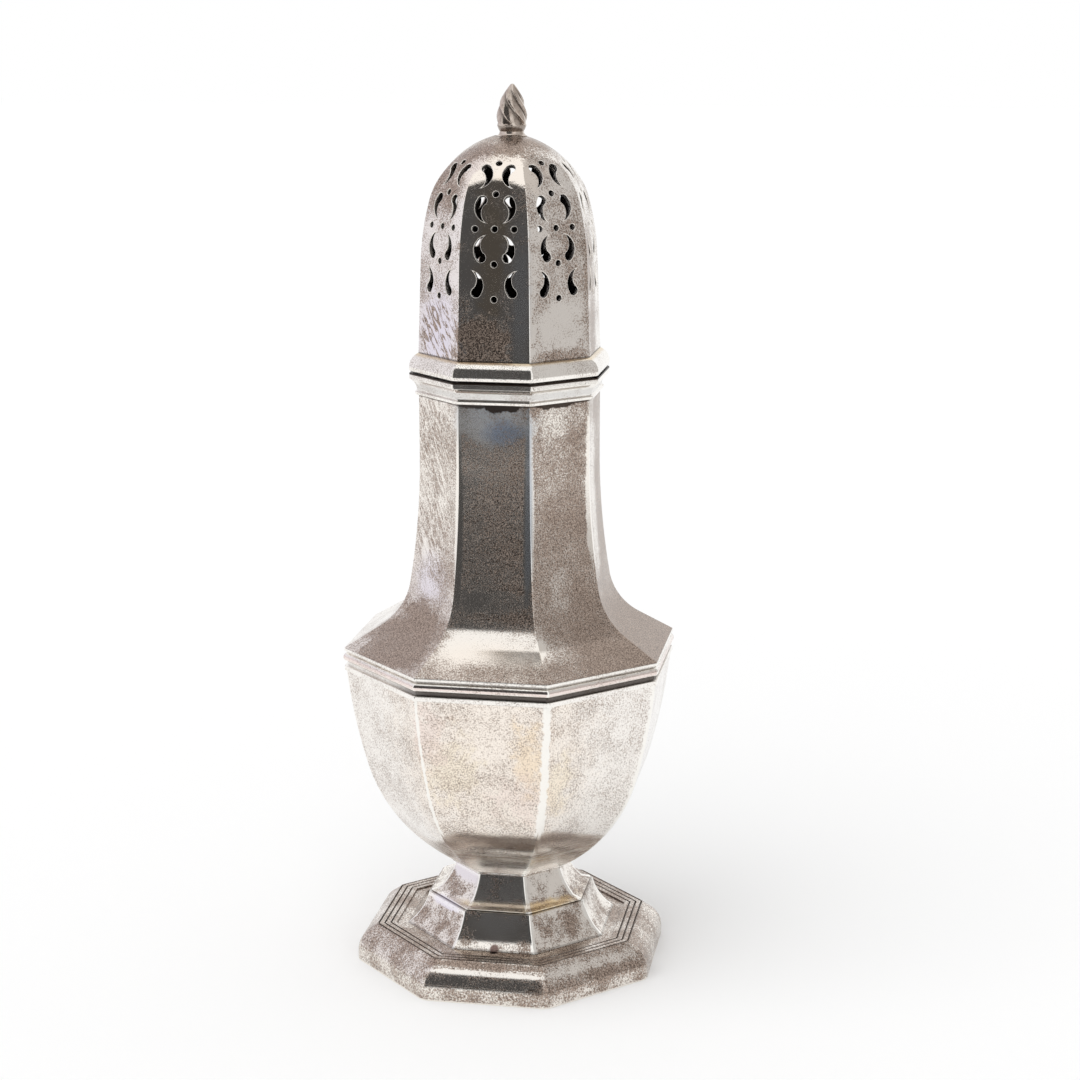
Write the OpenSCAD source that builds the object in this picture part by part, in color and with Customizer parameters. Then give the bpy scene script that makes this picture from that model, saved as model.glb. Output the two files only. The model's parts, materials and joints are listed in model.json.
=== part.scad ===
// Octagonal sugar caster in sheet silver: spreading foot, bellied bowl, tall neck and a pierced lift-off cover.
// Millimetres, +Z up, origin at the middle of the face it stands on. A flat of the octagon faces each of X and Y,
// and every width is measured across the flats.

/* [Sheet] */
// Thickness of the sheet in the bowl and the neck
body_wall = 0.8; // [0.5:0.05:1.2]
// Thickness of the sheet in the foot
foot_wall = 1; // [0.6:0.05:1.4]
// Thickness of the sheet in the cover
cover_wall = 1; // [0.6:0.05:1.4]

/* [Foot] */
// Width of the foot
foot_w = 60.4; // [54:0.1:68]
// Height of the wire that the foot stands on
wire_h = 3.4; // [2:0.1:5]
// Thickness of the wire from its outer to its inner face
wire_t = 2.6; // [1.6:0.1:5]
// Radius of the rounded edge above the wire
edge_r = 4.3; // [3:0.1:5.5]
// Turn of the rounded edge, in degrees from upright
edge_turn = 83; // [70:1:88]
// Number of lines cut into the flat of the foot
line_count = 3; // [0:1:3]
// Distance from the rim of the flat to the first line
line_inset = 0.4; // [0.2:0.1:1]
// Distance from one line to the next
line_pitch = 1.05; // [0.7:0.05:1.3]
// Width of a cut line
line_w = 0.3; // [0.2:0.05:0.5]
// Depth of a cut line
line_depth = 0.25; // [0.1:0.05:0.4]

/* [Stem] */
// Width of the flat's inner margin that the lower cove stands on
cove_seat = 2; // [1:0.1:2.6]
// Height of the plain edge under the lower cove
cove_edge_h = 0.25; // [0.15:0.05:0.6]
// Radius of the lower cove
cove_r = 5.8; // [4.5:0.1:7]
// Turn of the lower cove, in degrees from upright
cove_turn = 86; // [70:1:88]
// Ledge between the two coves
ledge_w = 0.45; // [0.2:0.05:1]
// Height of the plain edge under the upper cove
stem_edge_h = 0.4; // [0.2:0.05:0.8]
// Width of the stem at its waist
stem_w = 21.8; // [18:0.1:26]
// Radius of the upper cove
stem_r = 5.9; // [4.5:0.1:7]
// Turn of the upper cove, in degrees from upright
stem_turn = 79; // [65:1:88]
// Height of the reed between stem and bowl
collar_h = 0.8; // [0.5:0.05:1.4]
// How far that reed stands out from the stem
collar_out = 0.7; // [0.5:0.05:1.2]

/* [Bowl] */
// Width of the bowl at its rim
body_w = 62.6; // [56:0.1:70]
// Height of the bowl
bowl_h = 41.8; // [36:0.1:48]
// How far the base of the bowl stands out from the reed below it
base_lap = 0.6; // [0:0.05:1.5]
// Lean of the bowl's side at the rim, in degrees from upright
rim_lean = 5.7; // [2:0.1:9]
// Radius of the bowl's side
side_r = 126; // [100:1:160]
// Lean at which the side turns under
under_lean = 15.1; // [12:0.1:18]

/* [Girdle] */
// Height of the lower fillet
low_fillet_h = 0.95; // [0.6:0.05:1.4]
// Height of the wide groove
wide_groove_h = 0.85; // [0.5:0.05:1.2]
// Radius of the reed
reed_r = 0.9; // [0.6:0.05:1.2]
// Height of the narrow groove
narrow_groove_h = 0.4; // [0.25:0.05:0.8]
// Height of the upper fillet
top_fillet_h = 0.6; // [0.4:0.05:1]
// How far the fillets stand out from the bowl's rim
fillet_out = 0.3; // [0.15:0.05:0.6]
// Depth of the grooves behind the bowl's rim
groove_in = 0.35; // [0.1:0.05:0.4]
// How far the ledge of a fillet slopes into its groove
ledge_slope = 0.1; // [0.05:0.01:0.15]

/* [Neck] */
// Width of the neck
neck_w = 34; // [30:0.1:38]
// Height of the straight neck below its moulding
neck_straight = 12.3; // [9:0.1:20]
// Radius of the long sweep below the straight neck
sweep_r = 161; // [120:1:200]
// Lean at which the sweep turns out
sweep_lean = 9.2; // [7:0.1:11]
// Radius of the turn from neck to shoulder
turn_r = 12.7; // [9:0.1:15]
// Lean of the straight shoulder
shoulder_lean = 58.3; // [52:0.1:64]
// Radius of the bead under the neck moulding
bead_r = 0.4; // [0.25:0.05:0.6]
// Radius of the hollow in the neck moulding
hollow_r = 2.6; // [1.8:0.1:3.4]
// Turn of that hollow, in degrees from upright
hollow_turn = 62; // [45:1:75]
// Height of the fillet on the neck moulding
lip_h = 1.2; // [0.8:0.05:2]
// How far the neck's edge stands above its moulding, where the cover sits
seat_gap = 0.4; // [0.3:0.05:0.8]

/* [Cover] */
// Clearance of the bezel in the neck, each side
fit_gap = 0.2; // [0.15:0.05:0.4]
// Depth of the bezel in the neck
bezel_depth = 11; // [7:0.5:12]
// Height of the bezel inside the cover
bezel_lap = 2.4; // [1.5:0.1:3]
// Thickness of the bezel
bezel_t = 0.7; // [0.5:0.05:1]
// How far the cover's rim stands out from the dome
rim_out = 1.8; // [1.2:0.1:2.4]
// Height of the plain lower edge of the rim
rim_edge_h = 0.8; // [0.5:0.05:1.2]
// Radius of the rim's rounded upper part
rim_r = 2.9; // [2.4:0.1:3.6]
// Turn of the rounded upper part, in degrees from upright
rim_turn = 66; // [55:1:68]
// Height of the dome's straight side
side_h = 17.9; // [15:0.1:22]
// Lean of the dome's straight side
dome_lean = 1.93; // [1:0.01:4]
// Radius of the dome's haunch
haunch_r = 56; // [45:1:70]
// Lean at which the haunch turns into the crown
crown_lean = 13.7; // [10:0.1:17]
// Radius of the crown
crown_r = 17.4; // [16:0.1:19]
// Width of the flat on the crown where the finial sits
crown_flat_w = 5.8; // [5:0.1:8]

/* [Piercing] */
// Distance along a facet from the rim to the middle row of dots
pattern_mid = 25.3; // [24:0.1:26]
// Distance from one row of dots to the next, along the facet
row_pitch = 6.65; // [6.2:0.05:6.9]
// Diameter of a dot
dot_d = 1.25; // [0.8:0.05:1.5]
// Distance of the outer dots from the middle of the facet
outer_dot = 3.78; // [3.4:0.02:4.2]
// Radius of a comma's head
head_r = 0.95; // [0.7:0.05:1.05]
// Distance from the middle of a comma's head to its tip
comma_len = 4.15; // [3.6:0.05:4.4]
// How far a comma's tip swings back behind its head
tip_back = 0.55; // [0.3:0.05:0.8]
// How far a comma's belly reaches out in front of its head
belly = 1.42; // [1.2:0.02:1.6]
// Width of a comma's tail at its middle
tail_w = 1.25; // [0.9:0.05:1.35]
// Distance from the facet's middle to the heads of the inner, back to back commas
inner_head = 2.55; // [2.3:0.05:2.8]
// Distance from the facet's middle to the heads of the lowest commas
low_head = 3.5; // [3.2:0.05:3.9]
// Distance from the facet's middle to the heads of the highest commas
high_head = 2.3; // [2.1:0.05:2.4]

/* [Finial] */
// Turn of the finial's flared foot, in degrees from upright
flare_turn = 75; // [60:1:85]
// Radius of that flare's hollow
flare_r = 0.9; // [0.6:0.05:1.2]
// Radius of the finial where the bud starts
bud_foot_r = 2.35; // [1.8:0.05:2.6]
// Greatest radius of the bud
bud_r = 2.98; // [2.7:0.02:3.4]
// Height of the bud's widest place above its foot
bud_wide_h = 2.2; // [1.6:0.1:3]
// Height of the bud
bud_h = 9; // [7:0.1:11]
// Radius of the peg that holds the finial in the crown
peg_r = 1.1; // [0.7:0.05:1.5]
// Clearance of the peg in its holes, all round
peg_gap = 0.05; // [0.02:0.01:0.1]
// How far the peg stands out inside the crown
peg_out = 0.8; // [0.4:0.1:1.5]

/* [Hidden] */
$fa = 2;
$fs = 0.15;
facets = 8;
facet_angle = 360 / facets;
// Length by which a cut runs past the face that it opens
past = 1;
// Most that the flats along an arc lie inside it
arc_flat = 0.012;
// Length that any slab of the octagon overruns its width
span = body_w + foot_w;

// Foot and stem, from the floor up
foot_half = foot_w / 2;
edge_z = wire_h;
flat_z = edge_z + edge_r * sin(edge_turn);
flat_half = foot_half - edge_r * (1 - cos(edge_turn));
stem_half = stem_w / 2;
stem_foot_half = stem_half + stem_r * (1 - cos(stem_turn));
cove_top_half = stem_foot_half + ledge_w;
cove_foot_half = cove_top_half + cove_r * (1 - cos(cove_turn));
cove_top_z = flat_z + cove_edge_h + cove_r * sin(cove_turn);
stem_top_z = cove_top_z + stem_edge_h + stem_r * sin(stem_turn);
collar_half = stem_half + collar_out;
bowl_z = stem_top_z + collar_h;

// Bowl: side arc from the rim down, then an arc that turns under to the base
body_half = body_w / 2;
girdle_z = bowl_z + bowl_h;
base_half = collar_half + base_lap;
side_c = [body_half - side_r * cos(rim_lean), girdle_z + side_r * sin(rim_lean)];
under_n = [-cos(under_lean), sin(under_lean)];
under_start = side_c - side_r * under_n;
under_run = [base_half, bowl_z] - under_start;
under_r = (under_run * under_run) / (2 * (under_n * under_run));
under_c = under_start + under_r * under_n;

// Girdle
girdle_h = low_fillet_h + wide_groove_h + 2 * reed_r + narrow_groove_h + top_fillet_h;
fillet_half = body_half + fillet_out;
groove_half = body_half - groove_in;
reed_z = low_fillet_h + wide_groove_h + reed_r;

// Neck: straight neck, long sweep, turn and straight shoulder, from the top down
shoulder_z = girdle_z + girdle_h;
shoulder_half = fillet_half;
neck_half = neck_w / 2;
sweep_out = sweep_r * (1 - cos(sweep_lean));
turn_out = turn_r * (cos(sweep_lean) - cos(shoulder_lean));
slope_out = shoulder_half - neck_half - sweep_out - turn_out;
slope_h = slope_out / tan(shoulder_lean);
sweep_z = shoulder_z + slope_h + turn_r * (sin(shoulder_lean) - sin(sweep_lean)) + sweep_r * sin(sweep_lean);
sweep_c = [neck_half + sweep_r, sweep_z];
turn_c = sweep_c + (turn_r - sweep_r) * [cos(sweep_lean), sin(sweep_lean)];
moulding_z = sweep_z + neck_straight;
hollow_h = hollow_r * sin(hollow_turn);
hollow_out = hollow_r * (1 - cos(hollow_turn));
lip_z = moulding_z + 2 * bead_r + hollow_h;
seat_z = lip_z + lip_h + seat_gap;

// Cover: the bezel fits the neck, and the dome's wall stands outside the bezel
bezel_half = neck_half - body_wall - fit_gap;
dome_half = bezel_half + cover_wall / cos(dome_lean);
rim_h = rim_edge_h + rim_r * sin(rim_turn);
side_z = seat_z + rim_h;
haunch_z = side_z + side_h;
haunch_half = dome_half - side_h * tan(dome_lean);
haunch_c = [haunch_half, haunch_z] - haunch_r * [cos(dome_lean), sin(dome_lean)];
crown_start = haunch_c + haunch_r * [cos(crown_lean), sin(crown_lean)];
crown_c = crown_start - crown_r * [cos(crown_lean), sin(crown_lean)];
crown_flat_half = crown_flat_w / 2;
crown_z = crown_c.y + sqrt(pow(crown_r, 2) - pow(crown_flat_half - crown_c.x, 2));

// Piercing: where a comma's belly is widest, and where its tail leaves its head, in degrees from its tip
belly_share = 1 / 3;
nape_turn = 49;
pierce_len = 4 * cover_wall;

// Lengths along a facet of the dome, from the rim up
side_len = side_h / cos(dome_lean);
haunch_len = haunch_r * (crown_lean - dome_lean) * PI / 180;

// Finial
flare_h = flare_r * sin(flare_turn);
bud_z = crown_z + flare_h;
bud_tip = bud_h - bud_wide_h;
bud_top_r = (pow(bud_tip, 2) + pow(bud_r, 2)) / (2 * bud_r);
bud_under = bud_r - bud_foot_r;
bud_under_r = (pow(bud_wide_h, 2) + pow(bud_under, 2)) / (2 * bud_under);

// Lean of the dome's surface at a length along the facet, in degrees from upright
function dome_lean_at(s) =
    s < side_len ? dome_lean
    : s < side_len + haunch_len ? dome_lean + (s - side_len) / haunch_r * 180 / PI
    : crown_lean + (s - side_len - haunch_len) / crown_r * 180 / PI;

// Half width and height of the dome's surface at a length along the facet
function dome_point_at(s) =
    let (lean = dome_lean_at(s), out = [cos(lean), sin(lean)])
    s < side_len ? [dome_half, side_z] + s * [-sin(lean), cos(lean)]
    : s < side_len + haunch_len ? haunch_c + haunch_r * out
    : crown_c + crown_r * out;

// Points along an arc after its first point, which the outline already holds
function arc(centre, r, from, to) =
    let (steps = ceil(abs(to - from) / (2 * acos(1 - arc_flat / r))))
    [for (i = [1 : steps]) let (t = from + (to - from) * i / steps) centre + r * [cos(t), sin(t)]];

// Solid with eight mitred sides, from an outline of [half width, height] points that runs upwards
module eight_sided(outline) {
    mirrored = [for (i = [len(outline) - 1 : -1 : 0]) [-outline[i].x, outline[i].y]];
    intersection_for (k = [0 : facets / 2 - 1])
        rotate([0, 0, k * facet_angle])
            rotate([90, 0, 0])
                linear_extrude(height = span, center = true)
                    polygon(concat(outline, mirrored));
}

// Solid with eight upright sides
module eight_sided_block(half_w, low, high) {
    eight_sided([[half_w, low], [half_w, high]]);
}

// Outline of a cove on a plain edge, which rises from its foot and curves in to upright at its top
function cove_outline(top, r, turn, edge_h) =
    let (centre = top + [r, 0], foot = centre - r * [cos(turn), sin(turn)])
    concat([foot - [0, edge_h], foot], arc(centre, r, 180 + turn, 180));

// Outline of the hollow behind the sheet of a cove, open at its foot and its top
function cove_hollow(top, r, low) =
    let (centre = top + [r, 0], back_r = r + foot_wall)
    let (turn = asin((top.y - low) / back_r), foot = centre - back_r * [cos(turn), sin(turn)])
    concat([foot - [0, past], foot], arc(centre, back_r, 180 + turn, 180), [[top.x - foot_wall, top.y + past]]);

module foot_wire() {
    color("silver")
        difference() {
            eight_sided_block(foot_half, 0, wire_h);
            eight_sided_block(foot_half - wire_t, -past, wire_h + past);
        }
}

// Outline of the foot's rounded edge and flat, drawn in by the thickness of its sheet for the inside
function edge_outline(inset) =
    let (centre = [foot_half - edge_r, edge_z], r = edge_r - inset)
    concat([centre + [r, 0]], arc(centre, r, 0, asin((flat_z - inset - edge_z) / r)));

// Ring-shaped line cut into the flat of the foot
module cut_line(half_w) {
    difference() {
        eight_sided_block(half_w, flat_z - line_depth, flat_z + past);
        eight_sided_block(half_w - line_w, flat_z - line_depth - past, flat_z + 2 * past);
    }
}

module foot_flange() {
    color("silver")
        difference() {
            eight_sided(edge_outline(0));
            eight_sided(concat([[foot_half - foot_wall, edge_z - past]], edge_outline(foot_wall)));
            eight_sided_block(cove_foot_half - cove_seat, edge_z, flat_z + past);
            for (i = [0 : line_count - 1])
                cut_line(flat_half - line_inset - i * line_pitch);
        }
}

module foot_cove() {
    top = [cove_top_half, cove_top_z];
    color("silver")
        difference() {
            eight_sided(cove_outline(top, cove_r, cove_turn, cove_edge_h));
            eight_sided(cove_hollow(top, cove_r, flat_z));
        }
}

module stem() {
    top = [stem_half, stem_top_z];
    color("silver")
        difference() {
            eight_sided(cove_outline(top, stem_r, stem_turn, stem_edge_h));
            eight_sided(cove_hollow(top, stem_r, cove_top_z));
        }
}

module stem_collar() {
    reed = collar_h / 2;
    seat_half = collar_half - reed;
    outline = concat([[seat_half, stem_top_z]], arc([seat_half, stem_top_z + reed], reed, -90, 90));
    color("silver")
        difference() {
            eight_sided(outline);
            eight_sided_block(stem_half - foot_wall, stem_top_z - past, bowl_z + past);
        }
}

// Outline of the bowl, drawn in by the thickness of its sheet for the inside
function bowl_outline(inset, high) =
    let (low_r = under_r - inset, high_r = side_r - inset)
    let (low = -asin((under_c.y - bowl_z - inset) / low_r), rim = asin((high - side_c.y) / high_r))
    concat([under_c + low_r * [cos(low), sin(low)]],
           arc(under_c, low_r, low, -under_lean),
           arc(side_c, high_r, -under_lean, rim));

module bowl() {
    color("silver")
        difference() {
            eight_sided(bowl_outline(0, girdle_z));
            eight_sided(bowl_outline(body_wall, girdle_z + past));
        }
}

module girdle() {
    top_fillet_z = girdle_h - top_fillet_h;
    outline = concat([[fillet_half, 0], [fillet_half, low_fillet_h], [groove_half, low_fillet_h + ledge_slope]],
                     [[groove_half, reed_z - reed_r]],
                     arc([groove_half, reed_z], reed_r, -90, 90),
                     [[groove_half, top_fillet_z - ledge_slope]],
                     [[fillet_half, top_fillet_z], [fillet_half, girdle_h]]);
    color("silver")
        translate([0, 0, girdle_z])
            difference() {
                eight_sided(outline);
                eight_sided_block(body_half - body_wall, -past, girdle_h + past);
            }
}

// Outline of the shoulder and neck, drawn in by the thickness of their sheet for the inside
function neck_outline(inset, low, high) =
    let (bend = turn_c - (turn_r + inset) * [cos(shoulder_lean), sin(shoulder_lean)])
    concat([[bend.x + (bend.y - low) * tan(shoulder_lean), low], bend],
           arc(turn_c, turn_r + inset, 180 + shoulder_lean, 180 + sweep_lean),
           arc(sweep_c, sweep_r + inset, 180 + sweep_lean, 180),
           [[neck_half - inset, high]]);

module shoulder_neck() {
    color("silver")
        difference() {
            eight_sided(neck_outline(0, shoulder_z, seat_z));
            eight_sided(neck_outline(body_wall, shoulder_z - past, seat_z + past));
        }
}

module neck_moulding() {
    bead_half = neck_half + bead_r;
    hollow_z = moulding_z + 2 * bead_r;
    outline = concat([[bead_half, moulding_z]],
                     arc([bead_half, moulding_z + bead_r], bead_r, -90, 90),
                     arc([bead_half + hollow_r, hollow_z], hollow_r, 180, 180 - hollow_turn),
                     [[bead_half + hollow_out, lip_z + lip_h]]);
    color("silver")
        difference() {
            eight_sided(outline);
            eight_sided_block(neck_half, moulding_z - past, seat_z);
        }
}

module cover_bezel() {
    color("gainsboro")
        difference() {
            eight_sided_block(bezel_half, seat_z - bezel_depth, seat_z + bezel_lap);
            eight_sided_block(bezel_half - bezel_t, seat_z - bezel_depth - past, seat_z + bezel_lap + past);
        }
}

module cover_rim() {
    rim_half = dome_half + rim_out;
    round_z = seat_z + rim_edge_h;
    outline = concat([[rim_half, seat_z], [rim_half, round_z]],
                     arc([rim_half - rim_r, round_z], rim_r, 0, rim_turn));
    color("silver")
        difference() {
            eight_sided(outline);
            eight_sided_block(dome_half, seat_z - past, side_z + past);
        }
}

// Outline of the dome, drawn in by the thickness of its sheet for the inside
function dome_outline(inset, low) =
    let (low_half = dome_half - inset / cos(dome_lean), top_r = crown_r - inset)
    concat([[low_half, low], [low_half, side_z]],
           [haunch_c + (haunch_r - inset) * [cos(dome_lean), sin(dome_lean)]],
           arc(haunch_c, haunch_r - inset, dome_lean, crown_lean),
           arc(crown_c, top_r, crown_lean, asin((crown_z - inset - crown_c.y) / top_r)));

// A flat shape and its mirror image on the other side of the facet's middle
module both_sides() {
    children();
    mirror([1, 0])
        children();
}

// Mirror image of a flat shape, across where side is negative and upside down where way is
module turned(side, way) {
    mirror([side < 0 ? 1 : 0, 0])
        mirror([0, way < 0 ? 1 : 0])
            children();
}

// Comma-shaped hole: its head at the origin, its tip up and its belly to the right
module comma() {
    tip = [-tip_back, comma_len];
    belly_y = comma_len * belly_share;
    belly_r = (pow(belly + tip_back, 2) + pow(comma_len - belly_y, 2)) / (2 * (belly + tip_back));
    // The inner side of the tail runs from the tip to the nape of the head
    nape = head_r * [-sin(nape_turn), cos(nape_turn)];
    tail_x = belly - tail_w;
    nape_y = (tip.y + nape.y) / 2;
    nape_in = tail_x - (tip.x + nape.x) / 2;
    nape_r = (pow(nape_in, 2) + pow((tip.y - nape.y) / 2, 2)) / (2 * nape_in);
    circle(head_r);
    difference() {
        intersection() {
            translate([belly - belly_r, belly_y])
                circle(belly_r);
            polygon([tip, [0, -head_r], [2 * belly, -head_r], [2 * belly, tip.y]]);
        }
        translate([tail_x - nape_r, nape_y])
            circle(nape_r);
    }
}

// Cut through the dome's sheet, square to it at a length along the facet
module pierce(s) {
    p = dome_point_at(s);
    translate([p.x, 0, p.y])
        rotate([0, -dome_lean_at(s), 0])
            rotate([90, 0, 90])
                linear_extrude(height = pierce_len, center = true)
                    children();
}

// Row of two commas, mirrored left and right. Side 1 turns their bellies out and -1 in; way 1 points them up.
module comma_pair(s, head_x, side, way) {
    pierce(s)
        both_sides()
            translate([head_x, -way * comma_len / 2])
                turned(side, way)
                    comma();
}

module facet_piercing() {
    comma_mid = row_pitch / 2;
    for (row = [-2 : 2])
        pierce(pattern_mid + row * row_pitch)
            circle(d = dot_d);
    pierce(pattern_mid)
        both_sides()
            translate([outer_dot, 0])
                circle(d = dot_d);
    comma_pair(pattern_mid - 3 * comma_mid, low_head, -1, 1);
    comma_pair(pattern_mid - comma_mid, inner_head, 1, 1);
    comma_pair(pattern_mid + comma_mid, inner_head, 1, -1);
    comma_pair(pattern_mid + 3 * comma_mid, high_head, -1, -1);
}

module cover_dome() {
    color("silver")
        difference() {
            eight_sided(dome_outline(0, seat_z));
            eight_sided(dome_outline(cover_wall, seat_z - past));
            for (k = [0 : facets - 1])
                rotate([0, 0, k * facet_angle])
                    facet_piercing();
            translate([0, 0, crown_z - cover_wall - past])
                cylinder(r = peg_r + peg_gap, h = cover_wall + 2 * past);
        }
}

module finial_collar() {
    foot_r = bud_foot_r + flare_r * (1 - cos(flare_turn));
    color("silver")
        translate([0, 0, crown_z])
            rotate_extrude()
                difference() {
                    translate([peg_r + peg_gap, 0])
                        square([foot_r - peg_r - peg_gap, flare_h]);
                    translate([bud_foot_r + flare_r, flare_h])
                        circle(flare_r);
                }
}

module finial() {
    peg_len = flare_h + cover_wall + peg_out;
    low_c = [bud_r - bud_under_r, bud_wide_h];
    high_c = [bud_r - bud_top_r, bud_wide_h];
    peg = [[0, -peg_len], [peg_r, -peg_len], [peg_r, 0]];
    bud = concat([[bud_foot_r, 0]],
                 arc(low_c, bud_under_r, -asin(bud_wide_h / bud_under_r), 0),
                 arc(high_c, bud_top_r, 0, asin(bud_tip / bud_top_r)));
    // The arc ends on the axis, where the tip takes its last point's place
    tip = [0, bud_h];
    color("silver")
        translate([0, 0, bud_z])
            rotate_extrude()
                polygon(concat(peg, [for (i = [0 : len(bud) - 2]) bud[i]], [tip]));
}

foot_wire();
foot_flange();
foot_cove();
stem();
stem_collar();
bowl();
girdle();
shoulder_neck();
neck_moulding();
cover_bezel();
cover_rim();
cover_dome();
finial_collar();
finial();
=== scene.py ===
# %% [markdown]
# # An octagonal sugar caster in tarnished silver
# The caster is raised from sheet silver: a stepped foot, a bellied bowl, a tall neck and a pierced cover
# that lifts off. Every piece has eight mitred sides. This lesson draws each piece as one outline, spins the
# outline round in eight steps, softens its corners, and then tarnishes the metal with procedural nodes. The
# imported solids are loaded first, because each new piece takes its place and its size from them.

# %% Load the frame
import json
import math
from collections import namedtuple

import bmesh
import bpy
from mathutils import Matrix, Vector

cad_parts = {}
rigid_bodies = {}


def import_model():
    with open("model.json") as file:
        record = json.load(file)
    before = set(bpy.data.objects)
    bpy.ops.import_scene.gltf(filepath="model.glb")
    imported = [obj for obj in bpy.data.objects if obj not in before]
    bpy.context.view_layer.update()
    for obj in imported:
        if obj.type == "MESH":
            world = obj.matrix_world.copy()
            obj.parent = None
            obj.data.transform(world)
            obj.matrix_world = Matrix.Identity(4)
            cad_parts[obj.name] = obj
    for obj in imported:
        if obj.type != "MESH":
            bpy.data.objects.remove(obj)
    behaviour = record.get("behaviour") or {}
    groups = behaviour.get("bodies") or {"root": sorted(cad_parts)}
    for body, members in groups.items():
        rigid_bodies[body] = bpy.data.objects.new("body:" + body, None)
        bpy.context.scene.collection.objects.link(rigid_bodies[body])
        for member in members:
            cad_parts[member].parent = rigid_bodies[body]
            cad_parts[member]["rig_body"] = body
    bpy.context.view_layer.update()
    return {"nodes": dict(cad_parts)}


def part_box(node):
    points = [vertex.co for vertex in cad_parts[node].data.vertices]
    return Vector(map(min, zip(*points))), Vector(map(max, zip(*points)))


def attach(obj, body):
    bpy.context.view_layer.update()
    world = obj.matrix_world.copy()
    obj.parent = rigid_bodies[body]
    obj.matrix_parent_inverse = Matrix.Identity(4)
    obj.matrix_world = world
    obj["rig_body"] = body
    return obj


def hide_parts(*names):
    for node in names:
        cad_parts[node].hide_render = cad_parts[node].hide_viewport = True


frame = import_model()
print("pieces in the frame:", ", ".join(frame["nodes"]))

# %% [markdown]
# ## Camera
# The photograph was taken from a little above and a little to the right, with a long lens. The camera comes
# first, so that every later step can be judged from the same place. It stands on a circle round the caster
# and is aimed by two small angles: how far it turns from the caster's axis, and how far it looks down.

# %% Set up the camera
MM = 0.001
camera_distance = 448.1 * MM
camera_height = 192.9 * MM
camera_round = math.radians(10.67)
camera_turn = math.radians(0.755)
camera_down = math.radians(13.233)
camera_lens = 76.05


def placed(name, data):
    """Makes an object of some data and links it to the scene."""
    made = bpy.data.objects.new(name, data)
    bpy.context.scene.collection.objects.link(made)
    return made


camera = placed("camera", bpy.data.cameras.new("camera"))
bpy.context.scene.camera = camera
camera.data.lens = camera_lens
camera.data.sensor_width = 36
camera.data.clip_start = 10 * MM
camera.location = (camera_distance * math.sin(camera_round), -camera_distance * math.cos(camera_round),
                   camera_height)
forward = Vector((math.sin(camera_turn) * math.cos(camera_down),
                  math.cos(camera_turn) * math.cos(camera_down), -math.sin(camera_down)))
forward.rotate(Matrix.Rotation(camera_round, 3, "Z"))
camera.rotation_euler = forward.to_track_quat("-Z", "Y").to_euler()
bpy.context.scene.view_settings.view_transform = "Standard"
print("camera at", tuple(round(x, 3) for x in camera.location))

# %% [markdown]
# ## A pen for outlines
# A silversmith checks the section of a piece with a template. An outline here is such a template: it lies
# in the middle plane of one facet, with the half width across the flats along X and the height along Z, in
# millimetres. It could be a typed list of points, but a pen that extrudes one vertex into lines and spins
# it into arcs keeps the drawing as short as the real template. The pen also marks its points: "back" is the
# back of the sheet, and "hollow" is a place where dirt stays. The finishes read these marks later.

# %% Define the pen
ARC_STEP = 5.0


def on_circle(centre, radius, angle):
    turn = math.radians(angle)
    return Vector(centre) + radius * Vector((math.cos(turn), math.sin(turn)))


class Outline:
    """A pen that draws an outline of [half width, height] in a facet's middle plane."""

    def __init__(self, half, level, bm=None):
        self.bm = bm or bmesh.new()
        layers = self.bm.verts.layers.float
        self.layers = {name: layers.get(name) or layers.new(name) for name in ("back", "hollow")}
        self.marks = {"back": 0.0, "hollow": 0.0}
        self.first = self.pen = self.bm.verts.new((half, 0, level))
        self.verts = [self.first]

    def mark(self, **marks):
        self.marks.update(marks)
        return self

    def carry(self, drawn):
        """Marks the points just drawn and moves the pen to the last of them."""
        for vert in drawn:
            for name, value in self.marks.items():
                vert[self.layers[name]] = value
        self.verts += drawn
        self.pen = drawn[-1]
        return self

    def line(self, half, level):
        end = bmesh.ops.extrude_vert_indiv(self.bm, verts=[self.pen])["verts"][0]
        end.co = (half, 0, level)
        return self.carry([end])

    def arc(self, centre, turn, step=ARC_STEP):
        """Spins the pen about a centre by an angle in degrees."""
        old = len(self.bm.verts)
        bmesh.ops.spin(self.bm, geom=[self.pen], cent=(centre[0], 0, centre[1]), axis=(0, -1, 0),
                       angle=math.radians(turn), steps=max(2, math.ceil(abs(turn) / step)))
        self.bm.verts.ensure_lookup_table()
        return self.carry(self.bm.verts[old:])

    def arc_to(self, centre, angle, step=ARC_STEP):
        """Spins the pen about a centre until it lies at an angle, in degrees from the outward direction."""
        now = math.degrees(math.atan2(self.pen.co.z - centre[1], self.pen.co.x - centre[0]))
        return self.arc(centre, (angle - now + 180) % 360 - 180, step=step)

    def close(self):
        self.bm.edges.new((self.pen, self.first))
        return self.bm


test = Outline(1, 0).arc((0, 0), 90)
print("the pen spins", len(test.verts), "points round a quarter circle")
test.bm.free()

# %% [markdown]
# ## Eight mitred sides
# On the real caster each facet is flat from corner to corner, so a corner is farther from the axis than the
# flat's middle. The outline is widened to the corner, turned half a facet and spun in eight steps, which
# gives the mitres exactly. Wear has rounded all edges, so the corners and the sharp steps get a small bevel.
# Only freshly cut steps stay crisp. A Weighted Normal modifier keeps the large facets looking flat beside
# these narrow bevels.

# %% Define the spin and the bevels
FACETS = 8
FACET_TURN = 2 * math.pi / FACETS
FLAT_TO_CORNER = 1 / math.cos(FACET_TURN / 2)
MITRE = math.tan(FACET_TURN / 2)
SHARP = math.radians(24)
CORNER_SEGMENTS = 3
STEP_SEGMENTS = 2
MERGE = 0.002
SAME_LEVEL = 0.01
SAME_TURN = 0.001
Size = namedtuple("Size", "half low high")


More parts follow.
